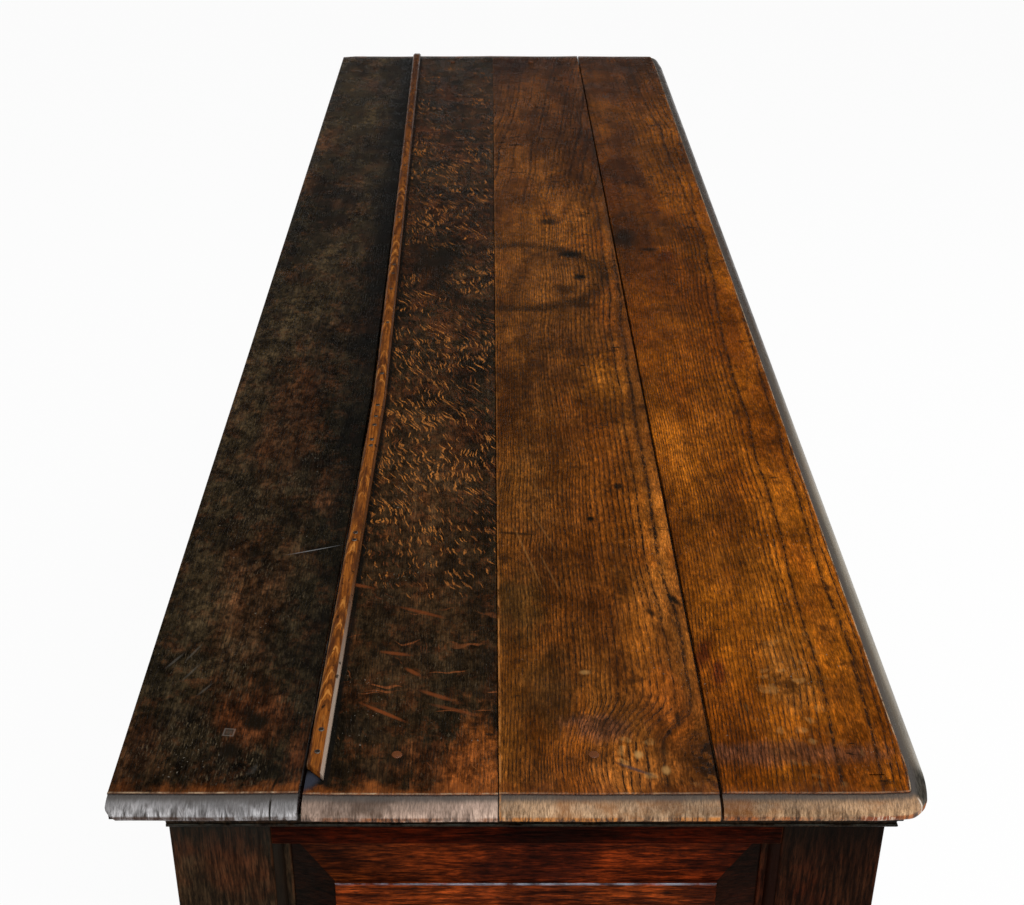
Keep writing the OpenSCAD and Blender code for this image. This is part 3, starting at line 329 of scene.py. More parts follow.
# On the end panels the pale blue-grey arris tone, on upward-facing arrises only, is a painted highlight
end_panel_oak = frame_oak("end_panel_oak", *mahogany, "y", 1.9, worn=rgb(0.20, 0.20, 0.22), rub=(0.34, 0.58),
                          raised=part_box("right_end_panels")[1][0])
for name in ("post_front_left", "post_front_right", "post_rear_left", "post_rear_right"):
    soften(name, upright_oak, "dark_oak", width=0.0014)
for name in ("drawer_muntins", "door_muntins"):
    soften(name, upright_oak, "dark_oak", width=0.0008)
for name in ("front_top_rail", "front_drawer_rail", "front_bottom_rail"):
    soften(name, rail_oak, "dark_oak", width=0.0008)
for name in ("left_end_rails", "right_end_rails"):
    soften(name, end_rail_oak, "dark_oak", width=0.0008)
for name in ("left_end_panels", "right_end_panels"):
    soften(name, end_panel_oak, "panel_oak", width=0.0010, angle=12, sides=0.0)
soften("centre_panel", panel_oak, "panel_oak", width=0.0007, angle=12)


# Pegs that hold the joints: cleft oak, driven in and left a little proud. They are dark in the frame,
# and worn to a lighter brown where they come through the top boards.
peg_oak, shader, where = new_material("peg_oak", specular=0.25)
end_rings = cloud(where, 700.0, 3.0, 0.6)
top_peg = tint(end_rings, rgb(0.05, 0.016, 0.005), rgb(0.15, 0.045, 0.012))
in_top = ramp(split(where)[2], 0.815, 0.82)
feed(shader, {"Base Color": tint(in_top, tint(end_rings, black, brown), top_peg), "Roughness": 0.4})
bump(shader, end_rings, 0.5, 0.0004)
soften("oak_pegs", peg_oak, "dark_oak", width=0.0005, shortest=0.0005)


# Inside and behind: rear rails, back boards, floor boards on their cleats, runners and stops, all of
# plain oak that was never polished, nailed or let in
lining_oak = frame_oak("lining_oak", rgb(0.11, 0.052, 0.022), rgb(0.30, 0.165, 0.075), rgb(0.22, 0.105, 0.04),
                       "x", 4.4, worn=rgb(0.34, 0.20, 0.10), specular=0.1)
back_oak = frame_oak("back_oak", rgb(0.055, 0.028, 0.013), rgb(0.16, 0.085, 0.038), rgb(0.12, 0.055, 0.022),
                     "z", 6.3, worn=rgb(0.20, 0.115, 0.06), specular=0.1)
soften("back_boards", back_oak, "lining_oak", width=0.0008)
for name in ("rear_rails", "floor_boards", "floor_cleats", "drawer_runners", "door_stops"):
    soften(name, lining_oak, "lining_oak", width=0.0008)


# Drawers: a moulded front dovetailed to plain sides, a back and a bottom of three boards. The front is
# stained like the frame; the rest was never polished.
drawer_oak = frame_oak("drawer_oak", rgb(0.014, 0.0050, 0.0022), rgb(0.045, 0.0130, 0.0048),
                       rgb(0.070, 0.0150, 0.0045), "x", 12.4, specular=0.08)
side_oak = frame_oak("side_oak", rgb(0.13, 0.062, 0.026), rgb(0.33, 0.185, 0.085), rgb(0.24, 0.12, 0.045),
                     "y", 8.8, worn=rgb(0.36, 0.22, 0.12), specular=0.1)
drawer_names = ("left_drawer", "middle_drawer", "right_drawer")
for drawer in drawer_names:
    soften(drawer + "_front", drawer_oak, "dark_oak", drawer, width=0.0009, angle=25)
    for part, oak in (("_sides", side_oak), ("_back", lining_oak), ("_bottom", side_oak)):
        soften(drawer + part, oak, "lining_oak", drawer, width=0.0006)


# Handles: cast and filed brass plates, turned pommels and swan-neck bails, dark in cloudy patches and spots
# and rubbed bright where fingers touch
def old_brass(name, dull, bright, seed):
    made, shader, where = new_material(name, metallic=1.0)
    stain = ramp(cloud(where, 45.0, 5.0, 0.65), 0.38, 0.66)
    spots = ramp(cloud(stretched(where, (1.0, 1.0, 1.0), shift=(seed, 0.0, 0.0)), 420.0, 3.0, 0.6), 0.6, 0.72)
    colour = tint(spots * 0.7, tint(stain, bright, dull), rgb(0.05, 0.030, 0.014))
    arris = use(wear, Vector=where).Arris
    colour = tint(arris * 0.8, colour, rgb(0.78, 0.56, 0.27))
    rough = ramp(cloud(where, 90.0, 4.0), 0.3, 0.7, 0.20, 0.34) + stain * 0.16 - arris * 0.1
    feed(shader, {"Base Color": colour, "Roughness": rough})
    scratches = streaks(where, (90.0, 400.0, 900.0), 3.0, 0.6, turn=0.4)
    bump(shader, calc("MULTIPLY_ADD", cloud(where, 130.0, 3.0), 1.0, scratches * 0.4), 0.35, 0.0004)
    return made


small = {"width": 0.0003, "shortest": 0.0004}
handle_brass = old_brass("handle_brass", rgb(0.20, 0.120, 0.045), rgb(0.56, 0.37, 0.150), 1.0)
for drawer in drawer_names:
    soften(drawer + "_handle_plates", handle_brass, "brass", drawer, **small)
    for bail in ("_bail_a", "_bail_b"):
        soften(drawer + bail, handle_brass, "brass", drawer + bail, **small)


# Doors: stiles and rails pegged round a raised panel, hung on brass butts with knuckles, and held by a
# turning catch behind a brass knob
door_panel_oak = frame_oak("door_panel_oak", mahogany[0], rgb(0.080, 0.0170, 0.0050), mahogany[2], "z", 15.3,
                           specular=0.08)
hinge_brass = old_brass("hinge_brass", rgb(0.12, 0.075, 0.032), rgb(0.36, 0.235, 0.105), 6.0)
for door in ("left_door", "right_door"):
    soften(door + "_stiles", upright_oak, "dark_oak", door, width=0.0008)
    soften(door + "_rails", rail_oak, "dark_oak", door, width=0.0008)
    soften(door + "_panel", door_panel_oak, "panel_oak", door, width=0.0007, angle=12)
    soften(door + "_hinge_leaves", hinge_brass, "brass", door, **small)
    soften(door + "_catch", handle_brass, "brass", door + "_catch", **small)
soften("door_hinge_plates", hinge_brass, "brass", **small)


# Bed moulding: three mitred lengths planted under the top, with a fillet, a hollow and a foot
# whose arrises carry a grey-green painted highlight
bed_oak = frame_oak("bed_oak", rgb(0.004, 0.0025, 0.0014), rgb(0.012, 0.0070, 0.0035),
                    rgb(0.018, 0.008, 0.0035), "x", 2.6, worn=rgb(0.062, 0.064, 0.052), specular=0.03,
                    rub=(0.36, 0.62))
soften("bed_mouldings", bed_oak, "dark_oak", width=0.0007)


# Top: four oak boards, moulded along the front and both ends with a thumb and a lower fillet, and
# pegged down. The slab is shaped whole, then sawn into its boards; the joint behind the strip is bowed.
def box_of(name):
    low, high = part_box(name)
    return Vector(low), Vector(high)


second_low, second_high = box_of("top_board_second")
front_low, front_high = box_of("top_board_front")
_, rear_high = box_of("top_board_rear")
third_low, third_high = box_of("top_board_third")
top_z = second_high.z
left_end, right_end = second_low.x, second_high.x
front_edge, back_edge = front_low.y, rear_high.y
thumb_belly, thumb_depth, top_thick = 0.010, 0.014, top_z - second_low.z
thumb_run, thumb_step, quirk_set = 0.0125, 0.002, 0.008
corner_round = 0.0150


def every(bm):
    return bm.verts[:] + bm.edges[:] + bm.faces[:]


def slice_across(bm, axis, low, high, step):
    """Cuts a mesh into strips so that it can be bent and worn."""
    normal = Vector((0.0, 0.0, 0.0))
    normal[axis] = 1.0
    count = max(1, round((high - low) / step))
    for i in range(1, count):
        point = normal * (low + (high - low) * i / count)
        bmesh.ops.bisect_plane(bm, geom=every(bm), plane_co=point, plane_no=normal, dist=1e-6)


def saw(bm, point, normal):
    """Cuts off what lies beyond a plane and closes the cut."""
    cut = bmesh.ops.bisect_plane(bm, geom=every(bm), plane_co=point, plane_no=normal, clear_outer=True,
                                 dist=1e-6)
    edges = [e for e in cut["geom_cut"] if isinstance(e, bmesh.types.BMEdge) and e.is_boundary]
    bmesh.ops.edgenet_fill(bm, edges=edges)


def curve_steps(run, rise, count):
    """Steps of a quarter round from a vertical tangent to a flat one."""
    turns = [math.pi / 2 * i / count for i in range(count + 1)]
    points = [(run * (1 - math.cos(a)), rise * math.sin(a)) for a in turns]
    return [(q[0] - p[0], q[1] - p[1]) for p, q in zip(points, points[1:])]


def spread(steps, start, end):
    """Gives each step its place on the profile: 1 is the arris, 2 the belly and 3 the lower arris."""
    share = (end - start) / len(steps)
    return [(inward, away, start + share * (i + 1)) for i, (inward, away) in enumerate(steps)]


def thumb_half(bm, steps, facing):
    """One half of the edge: an outline at the belly, stepped inwards and away from it."""
    edge = bm.verts.layers.float.new("edge")
    face = bmesh.ops.create_grid(bm, x_segments=1, y_segments=1, size=0.5)["verts"][0].link_faces[0]
    width, depth = right_end - left_end, back_edge - front_edge + 0.05
    bmesh.ops.scale(bm, vec=(width, depth, 1.0), verts=face.verts)
    middle = ((left_end + right_end) / 2, front_edge + depth / 2, top_z - thumb_belly)
    bmesh.ops.translate(bm, vec=middle, verts=face.verts)
    bmesh.ops.bevel(bm, geom=list(face.verts), offset=corner_round, offset_type="OFFSET", segments=10,
                    profile=0.5, affect="VERTICES", material=-1)
    face = max(bm.faces, key=lambda f: f.calc_area())
    for v in face.verts:
        v[edge] = 2.0
    if face.normal.z * facing < 0:
        bmesh.ops.reverse_faces(bm, faces=[face])
    for inward, away, place in steps:
        if inward > 0:
            bmesh.ops.inset_region(bm, faces=[face], thickness=inward, depth=away, use_even_offset=True,
                                   use_boundary=True)
        else:
            out = bmesh.ops.extrude_face_region(bm, geom=[face])
            bmesh.ops.delete(bm, geom=[face], context="FACES_ONLY")
            face = [g for g in out["geom"] if isinstance(g, bmesh.types.BMFace)][0]
            bmesh.ops.translate(bm, vec=(0.0, 0.0, away * facing), verts=face.verts)
        for v in face.verts:
            v[edge] = place


slab = bmesh.new()
upper = spread(curve_steps(thumb_run, thumb_belly - thumb_step, 8), 2.0, 1.3)
upper += [(0.0, thumb_step - 0.0006, 1.12), (0.0002, 0.0004, 1.06), (0.0004, 0.0002, 1.0), (0.016, 0.0, 0.0)]
thumb_half(slab, upper, 1)
lower_half = bmesh.new()
under = spread(curve_steps(0.0035, thumb_depth - thumb_belly, 4), 2.0, 3.0)
under += [(quirk_set - 0.0035, 0.00002, 3.4), (0.0, top_thick - thumb_depth, 4.0)]
thumb_half(lower_half, under, -1)
spare = bpy.data.meshes.new("lower_half")
lower_half.to_mesh(spare)
slab.from_mesh(spare)
bmesh.ops.remove_doubles(slab, verts=slab.verts[:], dist=1e-5)
saw(slab, Vector((0.0, back_edge, 0.0)), Vector((0.0, 1.0, 0.0)))
slice_across(slab, 0, left_end + 0.045, right_end - 0.03, 0.03)
slice_across(slab, 0, left_end + 0.005, left_end + 0.045, 0.005)

bow_at = 0.556
joint_ends = (back_edge - 0.124, back_edge - 0.133, back_edge - 0.116)


def bowed_joint(x):
    """Where the joint behind the strip lies, from the left end to the right."""
    s = (x - left_end) / bow_at
    if s < 1:
        return joint_ends[0] + (joint_ends[1] - joint_ends[0]) * s
    t = (x - left_end - bow_at) / (right_end - left_end - bow_at)
    return joint_ends[1] + (joint_ends[2] - joint_ends[1]) * t


def bowed_line(x):
    """The same joint in a material."""
    bow = left_end + bow_at
    lengths = []
    for start_x, start_y, end_x, end_y in ((left_end, joint_ends[0], bow, joint_ends[1]),
                                           (bow, joint_ends[1], right_end, joint_ends[2])):
        slope = (end_y - start_y) / (end_x - start_x)
        lengths.append(x * slope + (start_y - start_x * slope))
    return calc("MAXIMUM", *lengths)


# How far the front corners are worn in along the top and back from its front, and over what reach; how
# deep the bite out of the back corners is, how much of each end is uneven, and how high the boards' hills are
corner_along, corner_back, corner_reach = 0.0042, 0.0070, 0.045
bite, end_zone, hills = 0.006, 0.02, 0.00035


def board(name, y_low, y_high, material, bow_side=None, shorten=0.0, cup=0.0004):
    """A board sawn from the slab; bow_side is which long edge follows the bowed joint."""
    bm = slab.copy()
    if y_high is not None:
        saw(bm, Vector((0.0, y_high, 0.0)), Vector((0.0, 1.0, 0.0)))
    if y_low is not None:
        saw(bm, Vector((0.0, y_low, 0.0)), Vector((0.0, -1.0, 0.0)))
    low, high = (front_edge if y_low is None else y_low), (back_edge if y_high is None else y_high)
    crisp = [e for e in bm.edges if all(abs(v.co.z - top_z) < 1e-5 for v in e.verts) and (
        (y_low is not None and all(abs(v.co.y - low) < 1e-5 for v in e.verts)) or
        (all(abs(v.co.y - high) < 1e-5 for v in e.verts)))]
    bmesh.ops.bevel(bm, geom=crisp, offset=0.0008, segments=2, profile=0.5, affect="EDGES", material=-1)
    slice_across(bm, 1, low, high, 0.02)
    far_gap = 0.0006 if bow_side == "front" else 0.0
    edge_place = bm.verts.layers.float["edge"]
    straight = low if bow_side == "front" else high
    for v in bm.verts:
        if bow_side:
            share = max(0.0, 1 - abs(v.co.y - straight) / 0.07)
            gap = far_gap * (1 + 4 * max(0.0, min(1.0, (0.3 - v.co.x) / 0.6)))
            v.co.y += (bowed_joint(v.co.x) + gap - straight) * share
        middle = (v.co.y - (low + high) / 2) / ((high - low) / 2)
        p = v.co.copy()
        v.co.z += cup * (middle * middle - 1) + hills * (noise.noise(Vector((p.x * 6, p.y * 14, 1.3))) - 0.3)
        if y_low is None:
            worn = max(0.0, 1 - math.hypot(right_end - abs(p.x), p.y - front_edge) / corner_reach) ** 2
            worn *= 1.0 if v[edge_place] < 2.5 else 0.85
            v.co.x -= math.copysign(corner_along * worn, p.x)
            v.co.y += corner_back * worn
        at_back_corner = right_end - abs(p.x) < 0.004 and back_edge - p.y < 0.012
        if y_high is None and v[edge_place] > 1.7 and at_back_corner:
            v.co.y -= bite * min(1.0, (v[edge_place] - 1.7) / 0.4) * (1 if p.x < 0 else 0.5)
        if y_high is None and back_edge - p.y < 0.002 and p.x > right_end - end_zone:
            v.co.x -= bite
        if abs(p.x) > right_end - end_zone:
            side = math.copysign(1.0, p.x)
            v.co.x += -side * shorten + 0.0005 * noise.noise(Vector((p.y * 40, p.z * 30, side * 4.0)))
    return finish_piece(name, bm, material, "carcase", [name], smooth=35)


def on_top(along, from_back):
    """A place on the top, from its left end and its back edge."""
    return Vector((left_end + along, back_edge - from_back, top_z))


# Growth rings round a pith along the first axis: a sharp dark edge to each ring, fading inwards, and
# painted glints in the middle of each ring
rings, r, ends = group("oak_rings", {"Vector": None, "Width": 0.0022}, ["Line", "Pore", "Glint"])
_, side, depth = split(r.Vector)
roll = (streaks(r.Vector, (3.5, 7.0, 7.0), 2.0) - 0.5) * 0.026
wave = (streaks(r.Vector, (22.0, 30.0, 40.0), 2.0) - 0.5) * 0.0030
shiver = (streaks(r.Vector, (120.0, 300.0, 300.0), 2.0) - 0.5) * 0.0008
moved = side + (roll + (wave + shiver))
radius = calc("SQRT", moved * moved + depth * depth)
uneven = Value(add("ShaderNodeTexNoise", {"W": radius * 90.0, "Scale": 1.0, "Detail": 1.0},
                   noise_dimensions="1D").outputs[0])
part = calc("FRACT", radius / r.Width + uneven * 1.6)
ring_edge = calc("MAXIMUM", ramp(part, 0.80, 0.93), ramp(part, 0.03, 0.13, 1.0, 0.0))
beads = ramp(streaks(r.Vector, (170.0, 900.0, 900.0), 2.0, 0.6), 0.42, 0.58)
line = calc("MAXIMUM", ring_edge, beads * ramp(part, 0.20, 0.60, 0.55, 0.0))
gaps = ramp(streaks(r.Vector, (175.0, 480.0, 480.0), 3.0, 0.7), 0.40, 0.54, 0.15, 1.0)
pores = ramp(streaks(r.Vector, (130.0, 1300.0, 1300.0), 2.0, 0.5), 0.55, 0.66)
lit = ramp(streaks(r.Vector, (230.0, 900.0, 900.0), 2.0, 0.6, shift=(3.0, 0.0, 0.0)), 0.47, 0.60)
mid_ring = ramp(part, 0.22, 0.42) * ramp(part, 0.66, 0.80, 1.0, 0.0)
feed(ends, {"Line": line * gaps, "Pore": pores * calc("MULTIPLY_ADD", line, 0.75, 0.25),
            "Glint": lit * mid_ring})

# Ray flecks: short bright dashes, one to a cell, that lean a little across the grain as in quarter-sawn oak
flecks, f, ends = group("ray_flecks", {"Vector": None, "Cover": 0.5}, ["Mask", "Shade"])
along, side, _ = split(f.Vector)
lean = (cloud(f.Vector, 13.0, 2.0, 0.5) - 0.5) * 0.045
kink = (cloud(f.Vector, 90.0, 2.0, 0.5) - 0.5) * 0.0085
aslant = side + (along * -0.30 + (lean + kink))
far_off = calc("MAXIMUM", along + 0.52, 0.0)
cells = outputs(add("ShaderNodeTexVoronoi", {
    "Vector": xyz(along * 62.0 - far_off * 20.0, aslant * 455.0), "Scale": 1.0, "Randomness": 1.0},
    voronoi_dimensions="2D"))
chance = outputs(add("ShaderNodeSeparateColor", {0: cells.Color}))
present = ramp(chance.Red, 1.0 - f.Cover, 1.03 - f.Cover)
reach = calc("MULTIPLY_ADD", chance.Green, 0.26, 0.22)
frayed = ramp(cloud(f.Vector, 330.0, 2.0, 0.6), 0.38, 0.58, 0.35, 1.0)
feed(ends, {"Mask": ramp(cells.Distance, reach * 0.55, reach, 1.0, 0.0) * frayed * present,
            "Shade": chance.Blue})

# A spot at one place, for stains, dents and scratches: its edge breaks up along the grain
spot, s, ends = group("spot", {"Vector": None, "Centre": None, "Size": None, "Turn": 0.0, "Ragged": 0.3},
                      ["Mask", "Ring", "Box"])
away = Value(add("ShaderNodeVectorRotate", {"Vector": vector("SUBTRACT", s.Vector, s.Centre),
                                            "Axis": (0.0, 0.0, 1.0), "Angle": s.Turn}).outputs[0])
away = vector("DIVIDE", away, s.Size)
lumps = cloud(s.Vector, 48.0, 5.0, 0.7) - 0.5
torn = streaks(s.Vector, (38.0, 420.0, 200.0), 4.0, 0.7) - 0.5
reach = Value(add("ShaderNodeVectorMath", {0: away}, operation="LENGTH").outputs[1])
reach = reach + (lumps + torn * 0.8) * (s.Ragged * 3.0)
sides = split(vector("ABSOLUTE", away))
rim = abs(calc("MAXIMUM", sides[0], sides[1]) - 0.85)
feed(ends, {"Mask": ramp(reach, 0.35, 1.2, 1.0, 0.0), "Ring": ramp(abs(reach - 1.0), 0.02, 0.16, 1.0, 0.0),
            "Box": ramp(rim, 0.08, 0.2, 1.0, 0.0)})

# Small pale eyes with dark rims, where the grain swirls round a knot below
eyes, e, ends = group("eyes", {"Vector": None, "Scale": 120.0}, ["Mask", "Rim"])
swum = Value(add("ShaderNodeTexNoise", {"Vector": e.Vector, "Scale": 60.0, "Detail": 2.0}).outputs[1])
swum = vector("ADD", e.Vector, vector("MULTIPLY", swum, (0.016, 0.016, 0.0)))
pips = outputs(add("ShaderNodeTexVoronoi", {"Vector": swum, "Scale": e.Scale}, voronoi_dimensions="2D"))
taken = ramp(outputs(add("ShaderNodeSeparateColor", {0: pips.Color})).Red, 0.60, 0.80)
feed(ends, {"Mask": ramp(pips.Distance, 0.16, 0.42, 1.0, 0.0) * taken,
            "Rim": ramp(abs(pips.Distance - 0.44), 0.03, 0.09, 1.0, 0.0) * taken})

# A board's own colour: broad clouds and warm blushes
tones, t, ends = group("board_tones", {"Vector": None, "Seed": 0.0, "Dark": plain, "Light": plain,
                                       "Warm": plain}, ["Colour"])
broad = ramp(streaks(t.Vector, (3.5, 12.0, 4.0), 5.0, 0.62, shift=(t.Seed, t.Seed, 0.0)), 0.34, 0.66)
blush = streaks(t.Vector, (8.0, 17.0, 7.0), 6.0, 0.7, shift=(t.Seed * 3.0, 0.0, t.Seed))
feed(ends, {"Colour": tint(ramp(blush, 0.50, 0.68, 0.0, 0.7), tint(broad, t.Dark, t.Light), t.Warm)})

# What lies over that colour and its old stains: fibres, bands, a glow that comes and goes, mottles, and
# on the darkest boards a hatching of pale strands
figure, f, ends = group("board_figure", {"Vector": None, "Seed": 0.0, "Colour": plain, "Warm": plain,
                                         "Mottled": 0.3, "Hatch": 0.0}, ["Colour", "Fibre", "Glow", "Mottle"])
fibre = streaks(f.Vector, (95.0, 820.0, 300.0), 4.0, 0.72, shift=(0.0, f.Seed, 0.0))
colour = shade(f.Colour, ramp(fibre, 0.30, 0.70, 0.54, 1.52))
band = streaks(f.Vector, (5.0, 120.0, 60.0), 3.0, 0.65, shift=(0.0, f.Seed, 0.0))
colour = shade(colour, ramp(band, 0.30, 0.70, 0.78, 1.24))
glow = streaks(f.Vector, (9.0, 14.0, 9.0), 5.0, 0.62, shift=(0.0, f.Seed * 2.0, 0.0))
colour = shade(colour, ramp(glow, 0.33, 0.67, 0.58, 1.42))
mottle = cloud(stretched(f.Vector, (1.0, 1.0, 1.0), shift=(0.0, 0.0, f.Seed)), 66.0, 6.0, 0.76)
colour = tint(ramp(mottle, 0.50, 0.64, 0.0, f.Mottled * 0.5), colour, f.Warm)
mottle = cloud(stretched(f.Vector, (1.0, 1.5, 1.0), shift=(f.Seed, 0.0, 0.0)), 105.0, 5.0, 0.76)
colour = tint(f.Mottled, colour, shade(colour, ramp(mottle, 0.38, 0.62, 0.42, 1.60)))
mottle = cloud(stretched(f.Vector, (1.0, 1.6, 1.0), shift=(f.Seed, f.Seed, 0.0)), 34.0, 6.0, 0.72)
colour = tint(f.Mottled, colour, shade(colour, ramp(mottle, 0.38, 0.62, 0.45, 1.60)))
strands = ramp(streaks(f.Vector, (180.0, 980.0, 300.0), 3.0, 0.65, turn=0.35), 0.54, 0.68)
strands = strands * ramp(cloud(f.Vector, 24.0, 4.0, 0.6), 0.42, 0.64) * f.Hatch
feed(ends, {"Colour": tint(strands, colour, rgb(0.085, 0.062, 0.036)), "Fibre": fibre, "Glow": glow,
            "Mottle": mottle})

# Wax, dirt and painted light: painted glints in the rings, dark in the growth lines, pores and dents and in
# sooty clouds, a few pale specks, a painted shadow behind the strip and a dark band along its front; the tone
# shifts towards the far end, as a painted grey sheen on the two dark rear boards
dirt_and_painted_light, d, ends = group("wax_dirt_and_painted_light", {
    "Vector": None, "Seed": 0.0, "Colour": plain, "Dark": plain, "Far": plain, "Line": 0.0, "Pore": 0.0,
    "Glint": 0.0, "Shows": 0.8, "Glow": 0.0, "Mottle": 0.0}, ["Colour"])
x, y, _ = split(d.Vector)
# Painted glints in the middle of the rings
colour = tint(d.Glint * (d.Shows * 0.8), d.Colour, shade(d.Colour, rgb(2.0, 1.85, 1.5)))
colour = tint(d.Line * d.Shows, colour, tint(0.16, rgb(0.006, 0.003, 0.001), d.Dark))
colour = tint(d.Pore * 0.8, colour, rgb(0.004, 0.002, 0.001))
dents = streaks(d.Vector, (130.0, 34.0, 40.0), 3.0, 0.6, shift=(d.Seed, 0.0, 0.0))
dents = dents + ramp(x, -0.2, 0.4, 0.0, 0.070)
colour = tint(ramp(dents, 0.69, 0.745, 0.0, 0.8), colour, rgb(0.007, 0.004, 0.002))
specks = ramp(streaks(d.Vector, (420.0, 480.0, 400.0), 1.0), 0.72, 0.76)
specks = specks * ramp(cloud(d.Vector, 14.0, 2.0), 0.50, 0.66) * 0.45
colour = tint(specks, colour, rgb(0.22, 0.19, 0.15))
soot = ramp(cloud(d.Vector, 31.0, 5.0, 0.7), 0.56, 0.70, 0.0, 0.75)
colour = tint(soot, colour, tint(0.25, rgb(0.006, 0.004, 0.002), d.Dark))
# Towards the far end the tone shifts: a painted grey sheen on the two dark rear boards, darker on the two
# front ones
colour = tint(ramp(x, -0.20, right_end), colour, shade(colour, d.Far))
# A painted shadow of the strip on the board behind it, stronger towards the far end, and a dark band along
# the strip's front
beside = y - bowed_line(x)
behind = ramp(beside, -0.001, 0.001) * ramp(x, -0.80, 0.1, 0.35, 0.85)
behind = ramp(beside + d.Glow * 0.012, 0.014, 0.046, 1.0, 0.0) * behind
before = ramp(beside + d.Mottle * 0.003, -0.0150, -0.0125) * ramp(beside, 0.001, -0.001)
colour = tint(calc("MAXIMUM", behind, before * 0.85), colour, rgb(0.0035, 0.0035, 0.0030))
feed(ends, {"Colour": colour})

# The moulded edge, read from its place on the profile: rubbed wood by the arris, weathered end grain on the
# thumb with painted shade on its upper part and painted highlights on its ridges, a painted grey reflection
# along the front with a darker worn hollow at the near corner, and a warm line at its foot
moulded, m, ends = group("moulded_edge", {
    "Vector": None, "Seed": 0.0, "Colour": plain, "Light": plain, "EndDark": plain, "EndLight": plain,
    "FootTone": plain, "WarmEnd": 0.5, "Hatched": 1.0, "Fibre": 0.0, "Mottle": 0.0},
    ["Colour", "Edge", "Front", "Ridges", "Sawn", "Dull"])
edge = marked_on_mesh(moulded, "edge")
x, y, _ = split(m.Vector)
front = ramp(y + (abs(x) - right_end), front_edge - 0.004, front_edge + 0.004, 1.0, 0.0)
rag = (cloud(m.Vector, 44.0, 6.0, 0.74) - 0.5) * 3.2
rubbed = ramp(edge + rag, 0.25, 1.05) * ramp(edge, 0.02, 0.3, 0.0, m.WarmEnd) * (1.0 - front * 0.8)
bared = tint(ramp(m.Fibre, 0.3, 0.7), rgb(0.08, 0.019, 0.004), rgb(0.21, 0.060, 0.011))
colour = tint(rubbed, m.Colour, shade(bared, ramp(m.Mottle, 0.38, 0.62, 0.5, 1.3)))
ridges = cloud(stretched(m.Vector, (90.0, 230.0, 60.0)), 1.0, 2.0, 0.5, 1.2)
ridges = ridges * 0.6 + streaks(m.Vector, (150.0, 1300.0, 130.0), 3.0, 0.7, turn=0.12) * 0.4
hatching = streaks(m.Vector, (160.0, 1050.0, 330.0), 3.0, 0.7, turn=0.45)
# End grain of the thumb: painted shade on its upper part, painted highlights on the ridges lower down
even = tint(0.17, m.EndDark, m.EndLight)
even = shade(even, tint(m.Hatched, white, ramp(hatching, 0.34, 0.64, 0.72, 1.75)))
weathered_and_lit = tint(ramp(ridges, 0.36, 0.66), m.EndDark, m.EndLight)
weathered_and_lit = shade(weathered_and_lit, tint(m.Hatched, white, ramp(hatching, 0.36, 0.64, 0.74, 1.16)))
low_down = ramp(edge + (cloud(m.Vector, 40.0, 3.0) - 0.5) * 0.9, 1.45, 2.15)
weathered_and_lit = tint(low_down, even, weathered_and_lit)
browned = ramp(cloud(m.Vector, 33.0, 4.0, 0.65), 0.48, 0.68, 0.0, 0.7)
weathered_and_lit = tint(browned, weathered_and_lit, tint(0.3, m.Light, m.EndDark))
drifts = streaks(m.Vector, (30.0, 13.0, 30.0), 3.0, 0.6, shift=(m.Seed, 0.0, 0.0))
weathered_and_lit = shade(weathered_and_lit, ramp(drifts, 0.36, 0.64, 0.72, 1.32))
# Along the front the thumb is painted grey as a reflection, lighter towards its belly and its near end
front_reflection_and_hollow = tint(ramp(edge, 1.32, 1.95), rgb(0.080, 0.066, 0.048), rgb(0.300, 0.270, 0.220))
front_reflection_and_hollow = shade(front_reflection_and_hollow, ramp(streaks(m.Vector, (9.0, 160.0, 160.0), 4.0, 0.6), 0.3, 0.7, 0.75, 1.2))
front_reflection_and_hollow = tint(ramp(x, -0.62, -0.05), front_reflection_and_hollow, rgb(0.040, 0.030, 0.022))
hollow = use(spot, Vector=m.Vector, Centre=on_top(0.023, 0.5190), Size=(0.023, 0.0190, 0.3), Ragged=0.12).Mask
hollow_tone = tint(ramp(hatching, 0.4, 0.6), rgb(0.014, 0.014, 0.011), rgb(0.046, 0.043, 0.034))
front_reflection_and_hollow = tint(hollow, front_reflection_and_hollow, hollow_tone)
on_end = ramp(edge, 1.2, 1.34)
colour = tint(on_end * 0.95, colour, tint(front, weathered_and_lit, front_reflection_and_hollow))
foot = ramp(edge, 1.88, 1.99) * ramp(cloud(m.Vector, 50.0, 4.0, 0.65), 0.36, 0.56, 0.2, 1.0)
colour = tint(foot, colour, tint(ramp(ridges, 0.4, 0.6), rgb(0.030, 0.012, 0.005), m.FootTone))
feed(ends, {"Colour": colour, "Edge": edge, "Front": front, "Ridges": ridges,
            "Sawn": on_end * (1.0 - front) * ridges, "Dull": hollow * (front * on_end)})

# Painted shade under the arris of that edge, where its step falls in shadow, and a painted highlight along
# the arris itself
arris_shade_and_highlight, a, ends = group("painted_arris_line", {"Vector": None, "Colour": plain, "Edge": 0.0, "Front": 0.0,
                                        "Pale": 0.9}, ["Colour"])
step_shade = ramp(a.Edge, 1.10, 1.14) * ramp(a.Edge, 1.56, 1.36) * 0.85
step_shade_tone = tint(ramp(a.Edge, 1.16, 1.32), rgb(0.006, 0.0045, 0.004), rgb(0.062, 0.055, 0.050))
colour = tint(step_shade, a.Colour, step_shade_tone)
arris_highlight = ramp(a.Edge, 0.958, 0.982) * ramp(a.Edge, 1.11, 1.07)
arris_highlight = arris_highlight * ramp(cloud(a.Vector, 75.0, 4.0, 0.7), 0.40, 0.62, 0.12, 0.9)
arris_highlight = arris_highlight * (a.Pale + (1.0 - a.Pale) * a.Front)
feed(ends, {"Colour": tint(arris_highlight, colour, rgb(0.30, 0.21, 0.13))})

